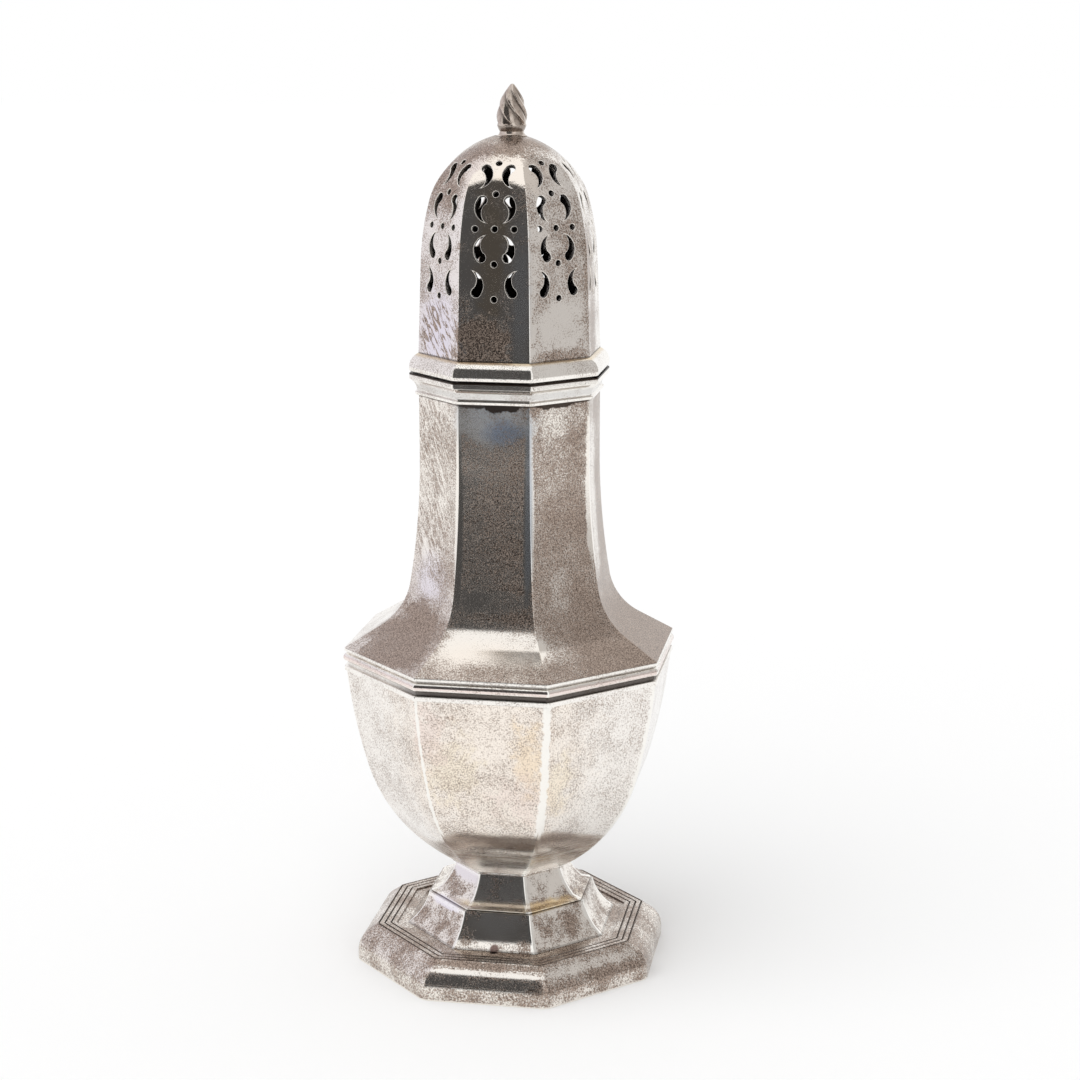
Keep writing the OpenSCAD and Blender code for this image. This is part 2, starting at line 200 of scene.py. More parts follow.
def size_of(node):
    """Half width across the flats and the lowest and highest level of a node, in millimetres."""
    low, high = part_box(node)
    return Size(high.x / MM, low.z / MM, high.z / MM)


def clean(bm):
    bmesh.ops.remove_doubles(bm, verts=bm.verts, dist=MERGE)
    bmesh.ops.recalc_face_normals(bm, faces=bm.faces)


def soften(bm, edges, width, segments):
    bmesh.ops.bevel(bm, geom=edges, offset=width, offset_type="OFFSET", affect="EDGES", segments=segments,
                    profile=0.5, material=-1, clamp_overlap=True)
    bmesh.ops.remove_doubles(bm, verts=bm.verts, dist=MERGE)


def is_mitre(edge, inner):
    """True for an edge that runs up a corner of the outside, no nearer to the axis than a half width."""
    low, high = (vert.co for vert in edge.verts)
    if min(low.xy.length, high.xy.length) < inner * FLAT_TO_CORNER:
        return False
    if abs(low.xy.angle_signed(high.xy)) > SAME_TURN:
        return False
    return edge.is_manifold and edge.calc_face_angle_signed() > -SAME_TURN


def is_step(edge):
    """True for a level edge between two surfaces that meet at a sharp angle."""
    low, high = (vert.co for vert in edge.verts)
    return edge.is_manifold and abs(low.z - high.z) < SAME_LEVEL and edge.calc_face_angle() > SHARP


def spun(bm, steps):
    """Spins an outline once round the caster's axis."""
    bmesh.ops.spin(bm, geom=bm.verts[:] + bm.edges[:], axis=(0, 0, 1), angle=2 * math.pi, steps=steps,
                   use_merge=True)
    clean(bm)
    return bm


def eight_sided(bm, corner, step, inner=0.5):
    """Spins a closed outline into a mitred ring and rounds its steps, and its corners outside a half width.

    Steps of no width stay crisp instead.
    """
    bmesh.ops.scale(bm, vec=(FLAT_TO_CORNER, 1, 1), verts=bm.verts)
    bmesh.ops.rotate(bm, matrix=Matrix.Rotation(FACET_TURN / 2, 3, "Z"), verts=bm.verts)
    spun(bm, FACETS)
    soften(bm, [edge for edge in bm.edges if is_mitre(edge, inner)], corner, CORNER_SEGMENTS)
    steps = [edge for edge in bm.edges if is_step(edge)]
    if step:
        soften(bm, steps, step, STEP_SEGMENTS)
    else:
        for edge in steps:
            edge.smooth = False
    return bm


print("a corner lies", round(FLAT_TO_CORNER, 3), "times as far out as the middle of a flat")

# %% [markdown]
# ## From outline to piece
# A finished bmesh becomes a mesh object in metres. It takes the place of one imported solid: it rides on the
# body that the solid moves with, it says which solid it replaces, and its slot names its metal. Smooth
# shading and the modifier come here too, so that all pieces get them alike.

# %% Define how a piece is fitted
def mesh_of(name, bm):
    """Turns a bmesh into a mesh and frees it."""
    mesh = bpy.data.meshes.new(name)
    bm.to_mesh(mesh)
    bm.free()
    return mesh


pieces = {}


def fit(node, bm):
    """Makes a piece from a bmesh in millimetres, in place of a node of the frame and on its body."""
    bmesh.ops.scale(bm, vec=(MM, MM, MM), verts=bm.verts)
    mesh = mesh_of(node + "_dressed", bm)
    mesh.shade_smooth()
    piece = placed(node + "_dressed", mesh)
    even = piece.modifiers.new("even_facets", "WEIGHTED_NORMAL")
    even.keep_sharp = True
    even.weight = 100
    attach(piece, frame["nodes"][node]["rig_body"])
    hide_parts(node)
    pieces[node] = piece
    print(piece.name, "has", len(mesh.polygons), "faces")


print("solids to replace:", len(frame["nodes"]))

# %% [markdown]
# ## Foot
# The foot is two pieces that look like one: a wire that it stands on, and a sheet with a rounded edge whose
# flat carries three cut lines. The rounded edge is one arc that begins on the wire, so both pieces share the
# curve and no seam shows. A slope runs on from the arc to the first line, at the flat's edge. Inside the
# lines the flat steps down into a trough, out of which the cove rises. A graver cut the lines and the
# trough, so their steps are not rounded.

# %% Model the wire and the flange
EDGE_ROUND = 0.1
foot = size_of("foot_wire")
flange = size_of("foot_flange")
wire_inner = foot.half - 2.6
foot_sheet = 1.0
foot_corner = 1.0
round_radius = 5.28
round_level = 1.82
round_lean = 55.5
round_centre = Vector((foot.half - round_radius, round_level))
seam_lean = math.degrees(math.asin((foot.high - round_level) / round_radius))
seam_back_lean = math.degrees(math.asin((foot.high - round_level) / (round_radius - foot_sheet)))
flat_level = flange.high - 0.27
flat_back = flat_level - foot_sheet
line_count = 3
line_first = 26.2
line_pitch = 1.2
line_width = 0.36
line_depth = 0.3
line_edge = 0.04
border_half = 22.5
trough_level = flat_level - 0.3
trough_edge = 0.5
flange_inner = 19.5

wire = Outline(wire_inner, 0).line(foot.half, 0).line(foot.half, round_level)
wire.arc_to(round_centre, seam_lean, step=3).line(wire_inner, foot.high)
fit("foot_wire", eight_sided(wire.close(), foot_corner, EDGE_ROUND))

rounded = Outline(*on_circle(round_centre, round_radius, seam_lean))
rounded.arc_to(round_centre, round_lean, step=3)
for number in range(line_count):
    outer = line_first - number * line_pitch
    rounded.line(outer + line_edge, flat_level).mark(hollow=0.9).line(outer, flat_level)
    rounded.line(outer - line_width / 3, flat_level - line_depth)
    rounded.line(outer - line_width * 2 / 3, flat_level - line_depth).line(outer - line_width, flat_level)
    rounded.mark(hollow=0).line(outer - line_width - line_edge, flat_level)
rounded.line(border_half, flat_level).mark(hollow=0.6).line(border_half, trough_level).mark(hollow=0)
rounded.line(border_half - trough_edge, trough_level).line(flange_inner, trough_level)
rounded.mark(back=1).line(flange_inner, flat_back).line(line_first - foot_sheet, flat_back)
rounded.line(*on_circle(round_centre, round_radius - foot_sheet, round_lean))
rounded.arc_to(round_centre, seam_back_lean)
flange_bm = eight_sided(rounded.close(), foot_corner, step=0, inner=line_first + line_edge / 2)
fit("foot_flange", flange_bm)

# %% [markdown]
# ## Coves and stem
# Two hollow curves, one on the other, lift the bowl off the foot. The lower one is a single arc that leans
# out from the start. The stem is the same at its waist, and then a tighter arc carries it out to a plain
# edge. A half-round reed hides the joint below the bowl.

# %% Model the coves and the reed
FINE_ROUND = 0.05
cove_corner = 0.22
cove_size = size_of("foot_cove")
waist_lean = 13
cove_top = 16.12
cove_radius = 11.6
cove_back_lean = 45
cove_centre = on_circle((cove_top, cove_size.high), cove_radius, waist_lean)
cove_foot_lean = math.degrees(math.asin((cove_centre.y - trough_level) / cove_radius))
cove = Outline(*on_circle(cove_centre, -cove_radius, cove_foot_lean))
cove.arc_to(cove_centre, 180 + waist_lean, step=3)
cove.mark(back=1).line(cove_top - foot_sheet, cove_size.high).arc_to(cove_centre, 180 + cove_back_lean)
fit("foot_cove", eight_sided(cove.close(), cove_corner, EDGE_ROUND))

stem = size_of("stem")
stem_edge = 0.4
waist_half = 10.9
waist_radius = 11.0
flare_radius = 2.85
flare_lean = 41.6
flat_foot_lean = 88
waist_centre = on_circle((waist_half, stem.high), waist_radius, waist_lean)
flare_centre = on_circle(waist_centre, flare_radius - waist_radius, flare_lean)
hollow_stem = Outline(stem.half, stem.low).line(stem.half, stem.low + stem_edge)
hollow_stem.line(*on_circle(flare_centre, -flare_radius, flat_foot_lean))
hollow_stem.arc_to(flare_centre, 180 + flare_lean).arc_to(waist_centre, 180 + waist_lean, step=3)
hollow_stem.mark(back=1).line(waist_half - foot_sheet, stem.high).arc_to(waist_centre, 180 + flare_lean)
hollow_stem.line(stem.half - 2 * foot_sheet, stem.low)
fit("stem", eight_sided(hollow_stem.close(), cove_corner, EDGE_ROUND))

reed = size_of("stem_collar")
reed_corner = 0.15
reed_radius = (reed.high - reed.low) / 2
reed_seat = reed.half - reed_radius
collar = Outline(reed_seat, reed.low).arc((reed_seat, reed.low + reed_radius), 180, step=20)
collar.mark(back=1).line(waist_half - foot_sheet, reed.high).line(waist_half - foot_sheet, reed.low)
fit("stem_collar", eight_sided(collar.close(), reed_corner, FINE_ROUND))

# %% [markdown]
# ## Bowl
# The bowl's side leans in gently and then turns under to a narrow base. Two arcs with a shared tangent draw
# it, and the same two arcs with smaller radii draw its inside. Of the raised pieces it has the most rubbed
# corners, so it gets a wide bevel.

# %% Model the bowl
bowl = size_of("bowl")
bowl_corner = 0.55
body_sheet = 0.8
base_half = 12.2
rim_lean = 5.7
under_lean = 15.1
side_radius = 126
side_centre = on_circle((bowl.half, bowl.high), -side_radius, -rim_lean)
under_start = on_circle(side_centre, side_radius, -under_lean)
under_in = on_circle((0, 0), -1, -under_lean)
under_run = Vector((base_half, bowl.low)) - under_start
under_radius = under_run.length_squared / (2 * under_in.dot(under_run))
under_centre = under_start + under_radius * under_in
floor_level = bowl.low + body_sheet
floor_turn = -math.degrees(math.asin((under_centre.y - floor_level) / (under_radius - body_sheet)))
rim_turn_in = -math.degrees(math.asin((side_centre.y - bowl.high) / (side_radius - body_sheet)))

side = Outline(base_half, bowl.low)
side.arc_to(under_centre, -under_lean, step=1.5).arc_to(side_centre, -rim_lean, step=1)
side.mark(back=1).line(*on_circle(side_centre, side_radius - body_sheet, rim_turn_in))
side.arc_to(side_centre, -under_lean, step=2).arc_to(under_centre, floor_turn, step=3)
side.line(0, floor_level).line(0, bowl.low)
fit("bowl", eight_sided(side.close(), bowl_corner, EDGE_ROUND))

# %% [markdown]
# ## Girdle
# A band of mouldings covers the seam between bowl and shoulder: a fillet, a wide groove, a reed, a narrow
# groove and a second fillet. It is drawn from the bottom up, with each ledge sloping a little into its
# groove.

# %% Model the girdle
girdle = size_of("girdle")
girdle_corner = 0.3
girdle_reed = 0.9
groove_half = girdle.half - girdle_reed
fillet_half = groove_half + 0.65
low_fillet = 0.95
wide_groove = 0.85
top_fillet = 0.6
ledge = 0.1
fillet_top = girdle.low + low_fillet
reed_level = fillet_top + wide_groove + girdle_reed

band = Outline(fillet_half, girdle.low).line(fillet_half, fillet_top).mark(hollow=1)
band.line(groove_half, fillet_top + ledge).line(groove_half, reed_level - girdle_reed).mark(hollow=0)
band.arc((groove_half, reed_level), 180, step=15).mark(hollow=0.7)
band.line(groove_half, girdle.high - top_fillet - ledge).mark(hollow=0)
band.line(fillet_half, girdle.high - top_fillet).line(fillet_half, girdle.high)
band.mark(back=1).line(bowl.half - body_sheet, girdle.high).line(bowl.half - body_sheet, girdle.low)
fit("girdle", eight_sided(band.close(), girdle_corner, EDGE_ROUND))

# %% [markdown]
# ## Shoulder and neck
# A straight shoulder turns up through a short arc into one long sweep, and the sweep ends in a straight
# neck. The arcs are drawn once for the outside and once, a sheet's thickness behind, for the inside.

# %% Model the shoulder and neck
neck = size_of("shoulder_neck")
moulding = size_of("neck_moulding")
neck_corner = 0.18
neck_half = 17.0
neck_straight = 12.3
sweep_radius = 161
sweep_lean = 9.2
turn_radius = 12.7
shoulder_lean = 58.3
sweep_level = moulding.low - neck_straight
sweep_centre = Vector((neck_half + sweep_radius, sweep_level))
turn_centre = on_circle(sweep_centre, turn_radius - sweep_radius, sweep_lean)
bend = on_circle(turn_centre, -turn_radius, shoulder_lean)
bend_in = on_circle(turn_centre, -turn_radius - body_sheet, shoulder_lean)
shoulder_in = bend_in.x + (bend_in.y - neck.low) * math.tan(math.radians(shoulder_lean))

sweep = Outline(neck.half, neck.low).line(*bend).arc_to(turn_centre, 180 + sweep_lean, step=2)
sweep.arc_to(sweep_centre, 180, step=1).line(neck_half, neck.high)
sweep.mark(back=1).line(neck_half - body_sheet, neck.high).line(neck_half - body_sheet, sweep_level)
sweep.arc_to(sweep_centre, 180 + sweep_lean, step=2).arc_to(turn_centre, 180 + shoulder_lean)
sweep.line(shoulder_in, neck.low)
fit("shoulder_neck", eight_sided(sweep.close(), neck_corner, EDGE_ROUND))

# %% [markdown]
# ## Moulding of the neck
# The neck's mouth is stiffened by a moulding: a small fillet that leans out, a hollow above it, and a lip
# that the cover sits on. One arc draws the hollow, and its steps keep nearly sharp edges, because no cloth
# reaches them.

# %% Model the neck's moulding
moulding_corner = 0.4
low_edge_half = neck_half + 0.8
low_edge_lean = 0.15
low_edge_height = 0.55
hollow_half = neck_half + 0.4
hollow_level = moulding.low + 0.8
hollow_radius = 2.6
hollow_turn = 62

lip = Outline(low_edge_half - low_edge_lean, moulding.low)
lip.line(low_edge_half, moulding.low + low_edge_height).line(hollow_half, hollow_level)
lip.arc((hollow_half + hollow_radius, hollow_level), -hollow_turn, step=6)
lip.line(moulding.half, moulding.high)
lip.mark(back=1).line(neck_half, moulding.high).line(neck_half, moulding.low)
fit("neck_moulding", eight_sided(lip.close(), moulding_corner, FINE_ROUND))

# %% [markdown]
# ## Cover: bezel and rim
# The cover slips into the neck by a plain bezel, which only shows when it is lifted. Its rim sits on the
# neck's edge: a plain edge below, drawn in a little where it meets the neck, and a rounded upper part that
# runs in to the dome.

# %% Model the bezel and the rim
bezel = size_of("cover_bezel")
bezel_corner = 0.2
bezel_inner = bezel.half - 0.7
ring = Outline(bezel.half, bezel.low).line(bezel.half, bezel.high)
ring.mark(back=1).line(bezel_inner, bezel.high).line(bezel_inner, bezel.low)
fit("cover_bezel", eight_sided(ring.close(), bezel_corner, EDGE_ROUND))

rim = size_of("cover_rim")
dome = size_of("cover_dome")
rim_corner = 0.4
rim_drawn_in = 0.13
rim_chamfer = 0.35
rim_edge = 0.8
rim_radius = 2.9
rim_turn = 66
bead = Outline(rim.half - rim_drawn_in, rim.low).line(rim.half, rim.low + rim_chamfer)
bead.line(rim.half, rim.low + rim_edge)
bead.arc((rim.half - rim_radius, rim.low + rim_edge), rim_turn).line(dome.half, rim.high)
bead.mark(back=1).line(dome.half, rim.low)
fit("cover_rim", eight_sided(bead.close(), rim_corner, EDGE_ROUND))

# %% [markdown]
# ## Pierced dome
# A silversmith saws the pattern out of each facet while the sheet is flat enough to reach. The dome is made
# the same way: one facet is drawn flat, with the distance across the facet along X and the distance from the
# rim along Z. Holes are drawn in it with the pen, their edges are filed down and the sheet gets its
# thickness. Only then is the flat facet bent to the dome's curve and copied round in eight places. Cutting
# the holes out of a finished dome with booleans would also work, but would leave no clean edge to file.

# %% Define the dome's curve
cover_sheet = 1.0
dome_lean = 1.93
side_height = 17.9
haunch_radius = 56
crown_lean = 13.7
crown_radius = 17.4
side_pitch = 6
haunch_pitch = 1.0
crown_pitch = 0.6
side_start = Vector((dome.half, rim.high))
side_length = side_height / math.cos(math.radians(dome_lean))
side_end = side_start + side_height * Vector((-math.tan(math.radians(dome_lean)), 1))
haunch_centre = on_circle(side_end, -haunch_radius, dome_lean)
haunch_top = side_length + haunch_radius * math.radians(crown_lean - dome_lean)
crown_start = on_circle(haunch_centre, haunch_radius, crown_lean)
crown_centre = on_circle(crown_start, -crown_radius, crown_lean)
crown_turn = math.degrees(math.asin((dome.high - crown_centre.y) / crown_radius)) - crown_lean
facet_top = haunch_top + crown_radius * math.radians(crown_turn)
facet_foot = rim.low - rim.high


def dome_at(length, depth=0.0):
    """Half width and height of the dome, at a length along a facet from the rim and a depth in the sheet."""
    if length < 0:
        return side_start + Vector((-depth, length))
    if length < side_length:
        return side_start + on_circle((0, 0), length, 90 + dome_lean) - on_circle((0, 0), depth, dome_lean)
    if length < haunch_top:
        lean = dome_lean + math.degrees((length - side_length) / haunch_radius)
        return on_circle(haunch_centre, haunch_radius - depth, lean)
    lean = crown_lean + math.degrees((length - haunch_top) / crown_radius)
    return on_circle(crown_centre, crown_radius - depth, lean)


def steps_between(start, stop, pitch):
    count = math.ceil((stop - start) / pitch)
    return [start + (stop - start) * number / count for number in range(count)]


levels = [facet_foot, *steps_between(0, side_length, side_pitch),
          *steps_between(side_length, haunch_top, haunch_pitch),
          *steps_between(haunch_top, facet_top, crown_pitch), facet_top]
print("a facet is", round(facet_top, 1), "mm long and has", len(levels), "levels")

# %% [markdown]
# Each facet has the same traditional pattern: a column of dots, two more dots at its sides, and four pairs
# of commas. A comma is the outline of three circles: its head, its belly, and the hollow of its nape. The
# helper finds where two of the circles cross, and the pen runs from one crossing to the next.

# %% Draw the piercing
dot_radius = 1.25 / 2
outer_dot = 3.78
pattern_mid = 25.3
row_pitch = 6.65
head_centre = Vector((0, 0))
head_radius = 0.95
belly_centre = Vector((-1.51, 1.38))
belly_radius = 2.93
nape_centre = Vector((-2.17, 2.39))
nape_radius = 2.34
comma_length = 4.15
JUST_OVER = 1.0001
Pair = namedtuple("Pair", "row head_at belly_out way")
comma_pairs = (Pair(-1.5, 3.5, -1, 1), Pair(-0.5, 2.55, 1, 1),
               Pair(0.5, 2.55, 1, -1), Pair(1.5, 2.3, -1, -1))


def crossing(one, one_radius, other, other_radius, side):
    """Where two circles cross, to one side (1) or the other (-1) of the way from the first to the second."""
    way = other - one
    along = (way.length_squared + one_radius ** 2 - other_radius ** 2) / (2 * way.length)
    off = math.sqrt(max(one_radius ** 2 - along ** 2, 0))
    return one + along * way.normalized() + side * off * way.normalized().orthogonal()


def joined(drawn):
    """Welds the pen to the start of a loop and returns the loop's vertices."""
    bmesh.ops.weld_verts(drawn.bm, targetmap={drawn.pen: drawn.first})
    return drawn.verts[:-1]


def dot(bm, grown, middle, length):
    radius = dot_radius + grown
    return joined(Outline(middle + radius, length, bm=bm).arc((middle, length), 360, step=20))


def comma(bm, grown, middle, length, side, way):
    """A comma with its belly to a side of its head, and its tip up (1) or down (-1)."""
    head = (head_centre, head_radius + grown)
    belly = (belly_centre, belly_radius + grown)
    nape = (nape_centre, nape_radius - grown)
    tip = crossing(*belly, *nape, -1)
    runs = ((belly, crossing(*belly, *head, 1), -1, 9),
            (head, crossing(*nape, *head, 1), -1, 12),
            (nape, tip, 1, 8))
    drawn = Outline(*tip, bm=bm)
    for (centre, _), stop, direction, steps in runs:
        start = math.atan2(drawn.pen.co.z - centre.y, drawn.pen.co.x - centre.x)
        end = math.atan2(stop.y - centre.y, stop.x - centre.x)
        turn = math.degrees((end - start) * direction % (2 * math.pi))
        # A step just over the even share keeps rounding from adding one more.
        drawn.arc(centre, turn * direction, step=turn / steps * JUST_OVER)
    loop = joined(drawn)
    bmesh.ops.scale(bm, vec=(side, 1, way), verts=loop)
    bmesh.ops.translate(bm, vec=(middle, 0, length - way * comma_length / 2), verts=loop)
    return loop


def piercing(bm, grown):
    """Draws all holes of a facet, each grown by a little, and returns their loops."""
    loops = [dot(bm, grown, 0, pattern_mid + row * row_pitch) for row in range(-2, 3)]
    loops += [dot(bm, grown, side * outer_dot, pattern_mid) for side in (-1, 1)]
    for pair in comma_pairs:
        length = pattern_mid + pair.row * row_pitch
        for side in (-1, 1):
            loops.append(comma(bm, grown, side * pair.head_at, length, side * pair.belly_out, pair.way))
    return loops


print("the pattern is", round(4 * row_pitch, 1), "mm tall, with", len(comma_pairs), "pairs of commas")

# %% [markdown]
# The facet is filled with triangles between its frame and its holes. Each hole is drawn several times, a
# little smaller and deeper each time, and bridging these loops gives it the narrow burnished band and the
# filed slope that catch the light. An inset would be shorter, but it folds over at the sharp tips of the
# commas. While they are bridged, the loops are pulled far apart, so that each one can only join the next.
# Clean strips of quads along both sides carry the facet to its mitres.

# %% Saw one facet
CUT = 1e-4
strip = 0.9
pulled_apart = 5.0
HoleEdge = namedtuple("HoleEdge", "grown depth shine")
hole_edge = (HoleEdge(0.11, 0.0, 0.0), HoleEdge(0.08, 0.0, 1.0), HoleEdge(0.03, 0.02, 1.0),
             HoleEdge(-0.02, 0.12, 1.0), HoleEdge(-0.02, 0.2, 0.0), HoleEdge(-0.02, cover_sheet, 0.0))


def mitre_at(length, depth):
    """Distance from the middle of a facet to its mitre."""
    return dome_at(length, depth).x * MITRE


def window(bm, depth):
    """The frame to fill with triangles, at a depth in the sheet. Returns its edges and its two sides."""
    old = len(bm.edges)
    frame_line = Outline(-mitre_at(levels[0], depth) + strip, levels[0], bm=bm)
    for length in levels:
        frame_line.line(mitre_at(length, depth) - strip, length)
    for length in reversed(levels[1:]):
        frame_line.line(strip - mitre_at(length, depth), length)
    frame_line.close()
    bmesh.ops.translate(bm, vec=(0, depth, 0), verts=frame_line.verts)
    bm.edges.ensure_lookup_table()
    edges = bm.edges[old:]
    sides = [edge for edge in edges if abs(edge.verts[0].co.z - edge.verts[1].co.z) > CUT]
    return edges, sides


def widen_to_mitre(bm, sides, depth):
    new = bmesh.ops.extrude_edge_only(bm, edges=sides)["geom"]
    for vert in (part for part in new if isinstance(part, bmesh.types.BMVert)):
        vert.co.x = math.copysign(mitre_at(vert.co.z, depth), vert.co.x)


def ring_edges(bm, loop):
    return [bm.edges.get(pair) for pair in zip(loop, loop[1:] + loop[:1])]


sheet = bmesh.new()
burnish = sheet.verts.layers.float.new("burnish")
outer_frame, outer_sides = window(sheet, 0.0)
inner_frame, inner_sides = window(sheet, cover_sheet)
ring_loops = [piercing(sheet, edge.grown) for edge in hole_edge]
rings = [[ring_edges(sheet, loop) for loop in loops] for loops in ring_loops]


def sink_rings(depths):
    for loops, depth in zip(ring_loops, depths):
        for vert in sum(loops, []):
            vert.co.y = depth


sink_rings([edge.depth for edge in hole_edge])
bmesh.ops.triangle_fill(sheet, edges=outer_frame + sum(rings[0], []), use_beauty=True)
bmesh.ops.triangle_fill(sheet, edges=inner_frame + sum(rings[-1], []), use_beauty=True)
sink_rings([number * pulled_apart for number in range(len(rings))])
for upper, lower in zip(rings, rings[1:]):
    for one, other in zip(upper, lower):
        bmesh.ops.bridge_loops(sheet, edges=one + other)
sink_rings([edge.depth for edge in hole_edge])
for loops, edge in zip(ring_loops, hole_edge):
    for vert in sum(loops, []):
        vert[burnish] = edge.shine
widen_to_mitre(sheet, outer_sides, 0.0)
widen_to_mitre(sheet, inner_sides, cover_sheet)
print("one flat facet has", len(sheet.faces), "faces and", len(rings[0]), "holes")

# %% [markdown]
# The flat facet is cut along its levels, so that it can bend there, and each vertex moves to its place on
# the dome. Hammering has made the crown nearly round, so above the piercing each vertex also moves towards a
# circle, and a few upright cuts let the facet bend that way. The spin with use_duplicate copies the facet
# round, and merging the doubles sews the mitres. Bridging joins the outside to the inside at the foot and
# round the crown, and the mitres get a narrow bevel up to where the crown is round.

# %% Bend the facet and copy it round
round_from = 33.0
round_to = 42.0
upright_cuts = (-4, -2, 0, 2, 4)
flat_to_round = (1 + FLAT_TO_CORNER) / 2
back_from = 0.15
back_rate = 1.6
dome_corner = 0.16
dome_sharp = 0.3


def share_of(value):
    return max(0.0, min(1.0, value))


back = sheet.verts.layers.float["back"]
for length in levels[1:-1]:
    bmesh.ops.bisect_plane(sheet, geom=sheet.verts[:] + sheet.edges[:] + sheet.faces[:], dist=CUT,
                           plane_co=(0, 0, length), plane_no=(0, 0, 1))
for across_at in upright_cuts:
    crown_faces = [face for face in sheet.faces if face.calc_center_median().z > round_from - 1]
    crown_geom = crown_faces + list({part for face in crown_faces for part in (*face.verts, *face.edges)})
    bmesh.ops.bisect_plane(sheet, geom=crown_geom, dist=CUT, plane_co=(across_at, 0, 0), plane_no=(1, 0, 0))
# Down each hole's wall the back mark grows with depth; the finish paints it nearly black, as tarnish
# deepened by painted shade.
for vert in sheet.verts:
    length, depth = vert.co.z, vert.co.y
    vert[back] = share_of((depth - back_from) * back_rate)
    half, level = dome_at(length, depth)
    vert.co = (vert.co.x, -half, level)
    roundness = share_of((length - round_from) / (round_to - round_from))
    vert.co.xy *= 1 + roundness * (half * flat_to_round / vert.co.xy.length - 1)
bmesh.ops.spin(sheet, geom=sheet.verts[:] + sheet.edges[:] + sheet.faces[:], axis=(0, 0, 1),
               use_duplicate=True, angle=FACET_TURN * (FACETS - 1), steps=FACETS - 1)
clean(sheet)
open_edges = [edge for edge in sheet.edges if edge.is_boundary]
middle_level = (dome.low + dome.high) / 2
for is_top in (False, True):
    end_edges = [edge for edge in open_edges if (edge.verts[0].co.z > middle_level) == is_top]
    bmesh.ops.bridge_loops(sheet, edges=end_edges)
clean(sheet)


def is_dome_mitre(edge):
    turns = [math.atan2(vert.co.y, vert.co.x) / FACET_TURN % 1 for vert in edge.verts]
    on_corner = all(abs(turn - 0.5) < CUT for turn in turns)
    return on_corner and edge.is_manifold and edge.calc_face_angle_signed() > dome_sharp


soften(sheet, [edge for edge in sheet.edges if is_dome_mitre(edge)], dome_corner, CORNER_SEGMENTS)
fit("cover_dome", sheet)

# %% [markdown]
# ## Finial
# A flared collar carries a cast flame bud. The bud is turned first, as its wax model would be: two arcs draw
# its side, and a small third one blunts its tip. The collar and the bud were soldered on a little to one
# side, and stay so.

# %% Turn the collar and the bud
collar_size = size_of("finial_collar")
bud_size = size_of("finial")
peg_radius = 1.1
bell_radius = 0.9
bud_foot = 2.35
bud_wide = 2.2
bell_steps = 64
bud_steps = 144
blunt = 0.42
tip_cut = 0.25
bud_level = collar_size.high
bud_height = bud_size.high - bud_level
bud_tip = bud_height - bud_wide + tip_cut
bud_middle = bud_level + bud_wide
top_radius = (bud_tip ** 2 + bud_size.half ** 2) / (2 * bud_size.half)
under_in_by = bud_size.half - bud_foot
low_radius = (bud_wide ** 2 + under_in_by ** 2) / (2 * under_in_by)
finial_shift = Vector((0.45, 0, 0))

bell = Outline(peg_radius, collar_size.low).line(collar_size.half, collar_size.low)
bell.arc_to((bud_foot + bell_radius, collar_size.high), 180, step=8).line(peg_radius, collar_size.high)
ring = spun(bell.close(), bell_steps)
bmesh.ops.translate(ring, vec=finial_shift, verts=ring.verts)
fit("finial_collar", ring)

bud = Outline(0, bud_size.low).line(peg_radius, bud_size.low).line(peg_radius, bud_level)
bud.line(bud_foot, bud_level).arc_to((bud_size.half - low_radius, bud_middle), 0, step=1.2)
tip_angle = math.degrees(math.acos((blunt - bud_size.half + top_radius) / top_radius))
bud.arc_to((bud_size.half - top_radius, bud_middle), tip_angle, step=1)
bud.arc_to((0, bud.pen.co.z - blunt * math.tan(math.radians(tip_angle))), 90, step=6)
bud.pen.co.x = 0
flame = spun(bud.bm, bud_steps)
print("the turned bud has", len(flame.faces), "faces")

# %% [markdown]
# The turned surface is now pushed in, so that six lobes wind up round the bud. Each lobe rises steeply to a
# ridge and falls away slowly to the next one. Sculpting would do as well, but one rule for all vertices
# keeps the lobes alike, and tells where the hollows are that hold dirt.

# %% Carve the lobes
lobes = 6
lobe_depth = 0.5
lobe_twist = math.radians(170)
lobe_foot = 0.13
lobe_start = 4
lobe_end = 0.25
ridge_share = 0.12
fall_power = 1.4
foot_dirt = 0.5
tip_lean = 0.15
thinnest = 0.3
on_axis = 0.01

hollow = flame.verts.layers.float["hollow"]
for vert in flame.verts:
    rise = (vert.co.z - bud_level) / bud_height
    radius = vert.co.xy.length
    if rise <= 0 or radius < on_axis:
        continue
    turn = math.atan2(vert.co.y, vert.co.x)
    share = (turn + lobe_twist * rise) / (2 * math.pi) * lobes % 1
    if share < ridge_share:
        fall = 1 - share / ridge_share
    else:
        fall = ((share - ridge_share) / (1 - ridge_share)) ** fall_power
    fade = min(1, max(0, rise / lobe_foot - 1) * lobe_start) * min(1, (1 - rise) / lobe_end)
    sink = lobe_depth * fall * fade * min(1, radius / bud_foot)
    vert[hollow] = max(fall ** 2 * fade, foot_dirt if rise < lobe_foot else 0)
    vert.co.xy *= 1 - sink / max(radius, thinnest)
    vert.co.x += tip_lean * rise ** 2
bmesh.ops.translate(flame, vec=finial_shift, verts=flame.verts)
fit("finial", flame)

# %% [markdown]
# ## Helpers for nodes
# Materials here are long chains of small sums. One helper adds a node, links or sets its inputs in order,
# and returns its output, so that a chain reads like a formula. Effects that several finishes share become
# node groups.

# %% Define the node helpers
def set_or_link(tree, socket, value):
    if isinstance(value, bpy.types.NodeSocket):
        tree.links.new(value, socket)
    elif value is not None:
        socket.default_value = value


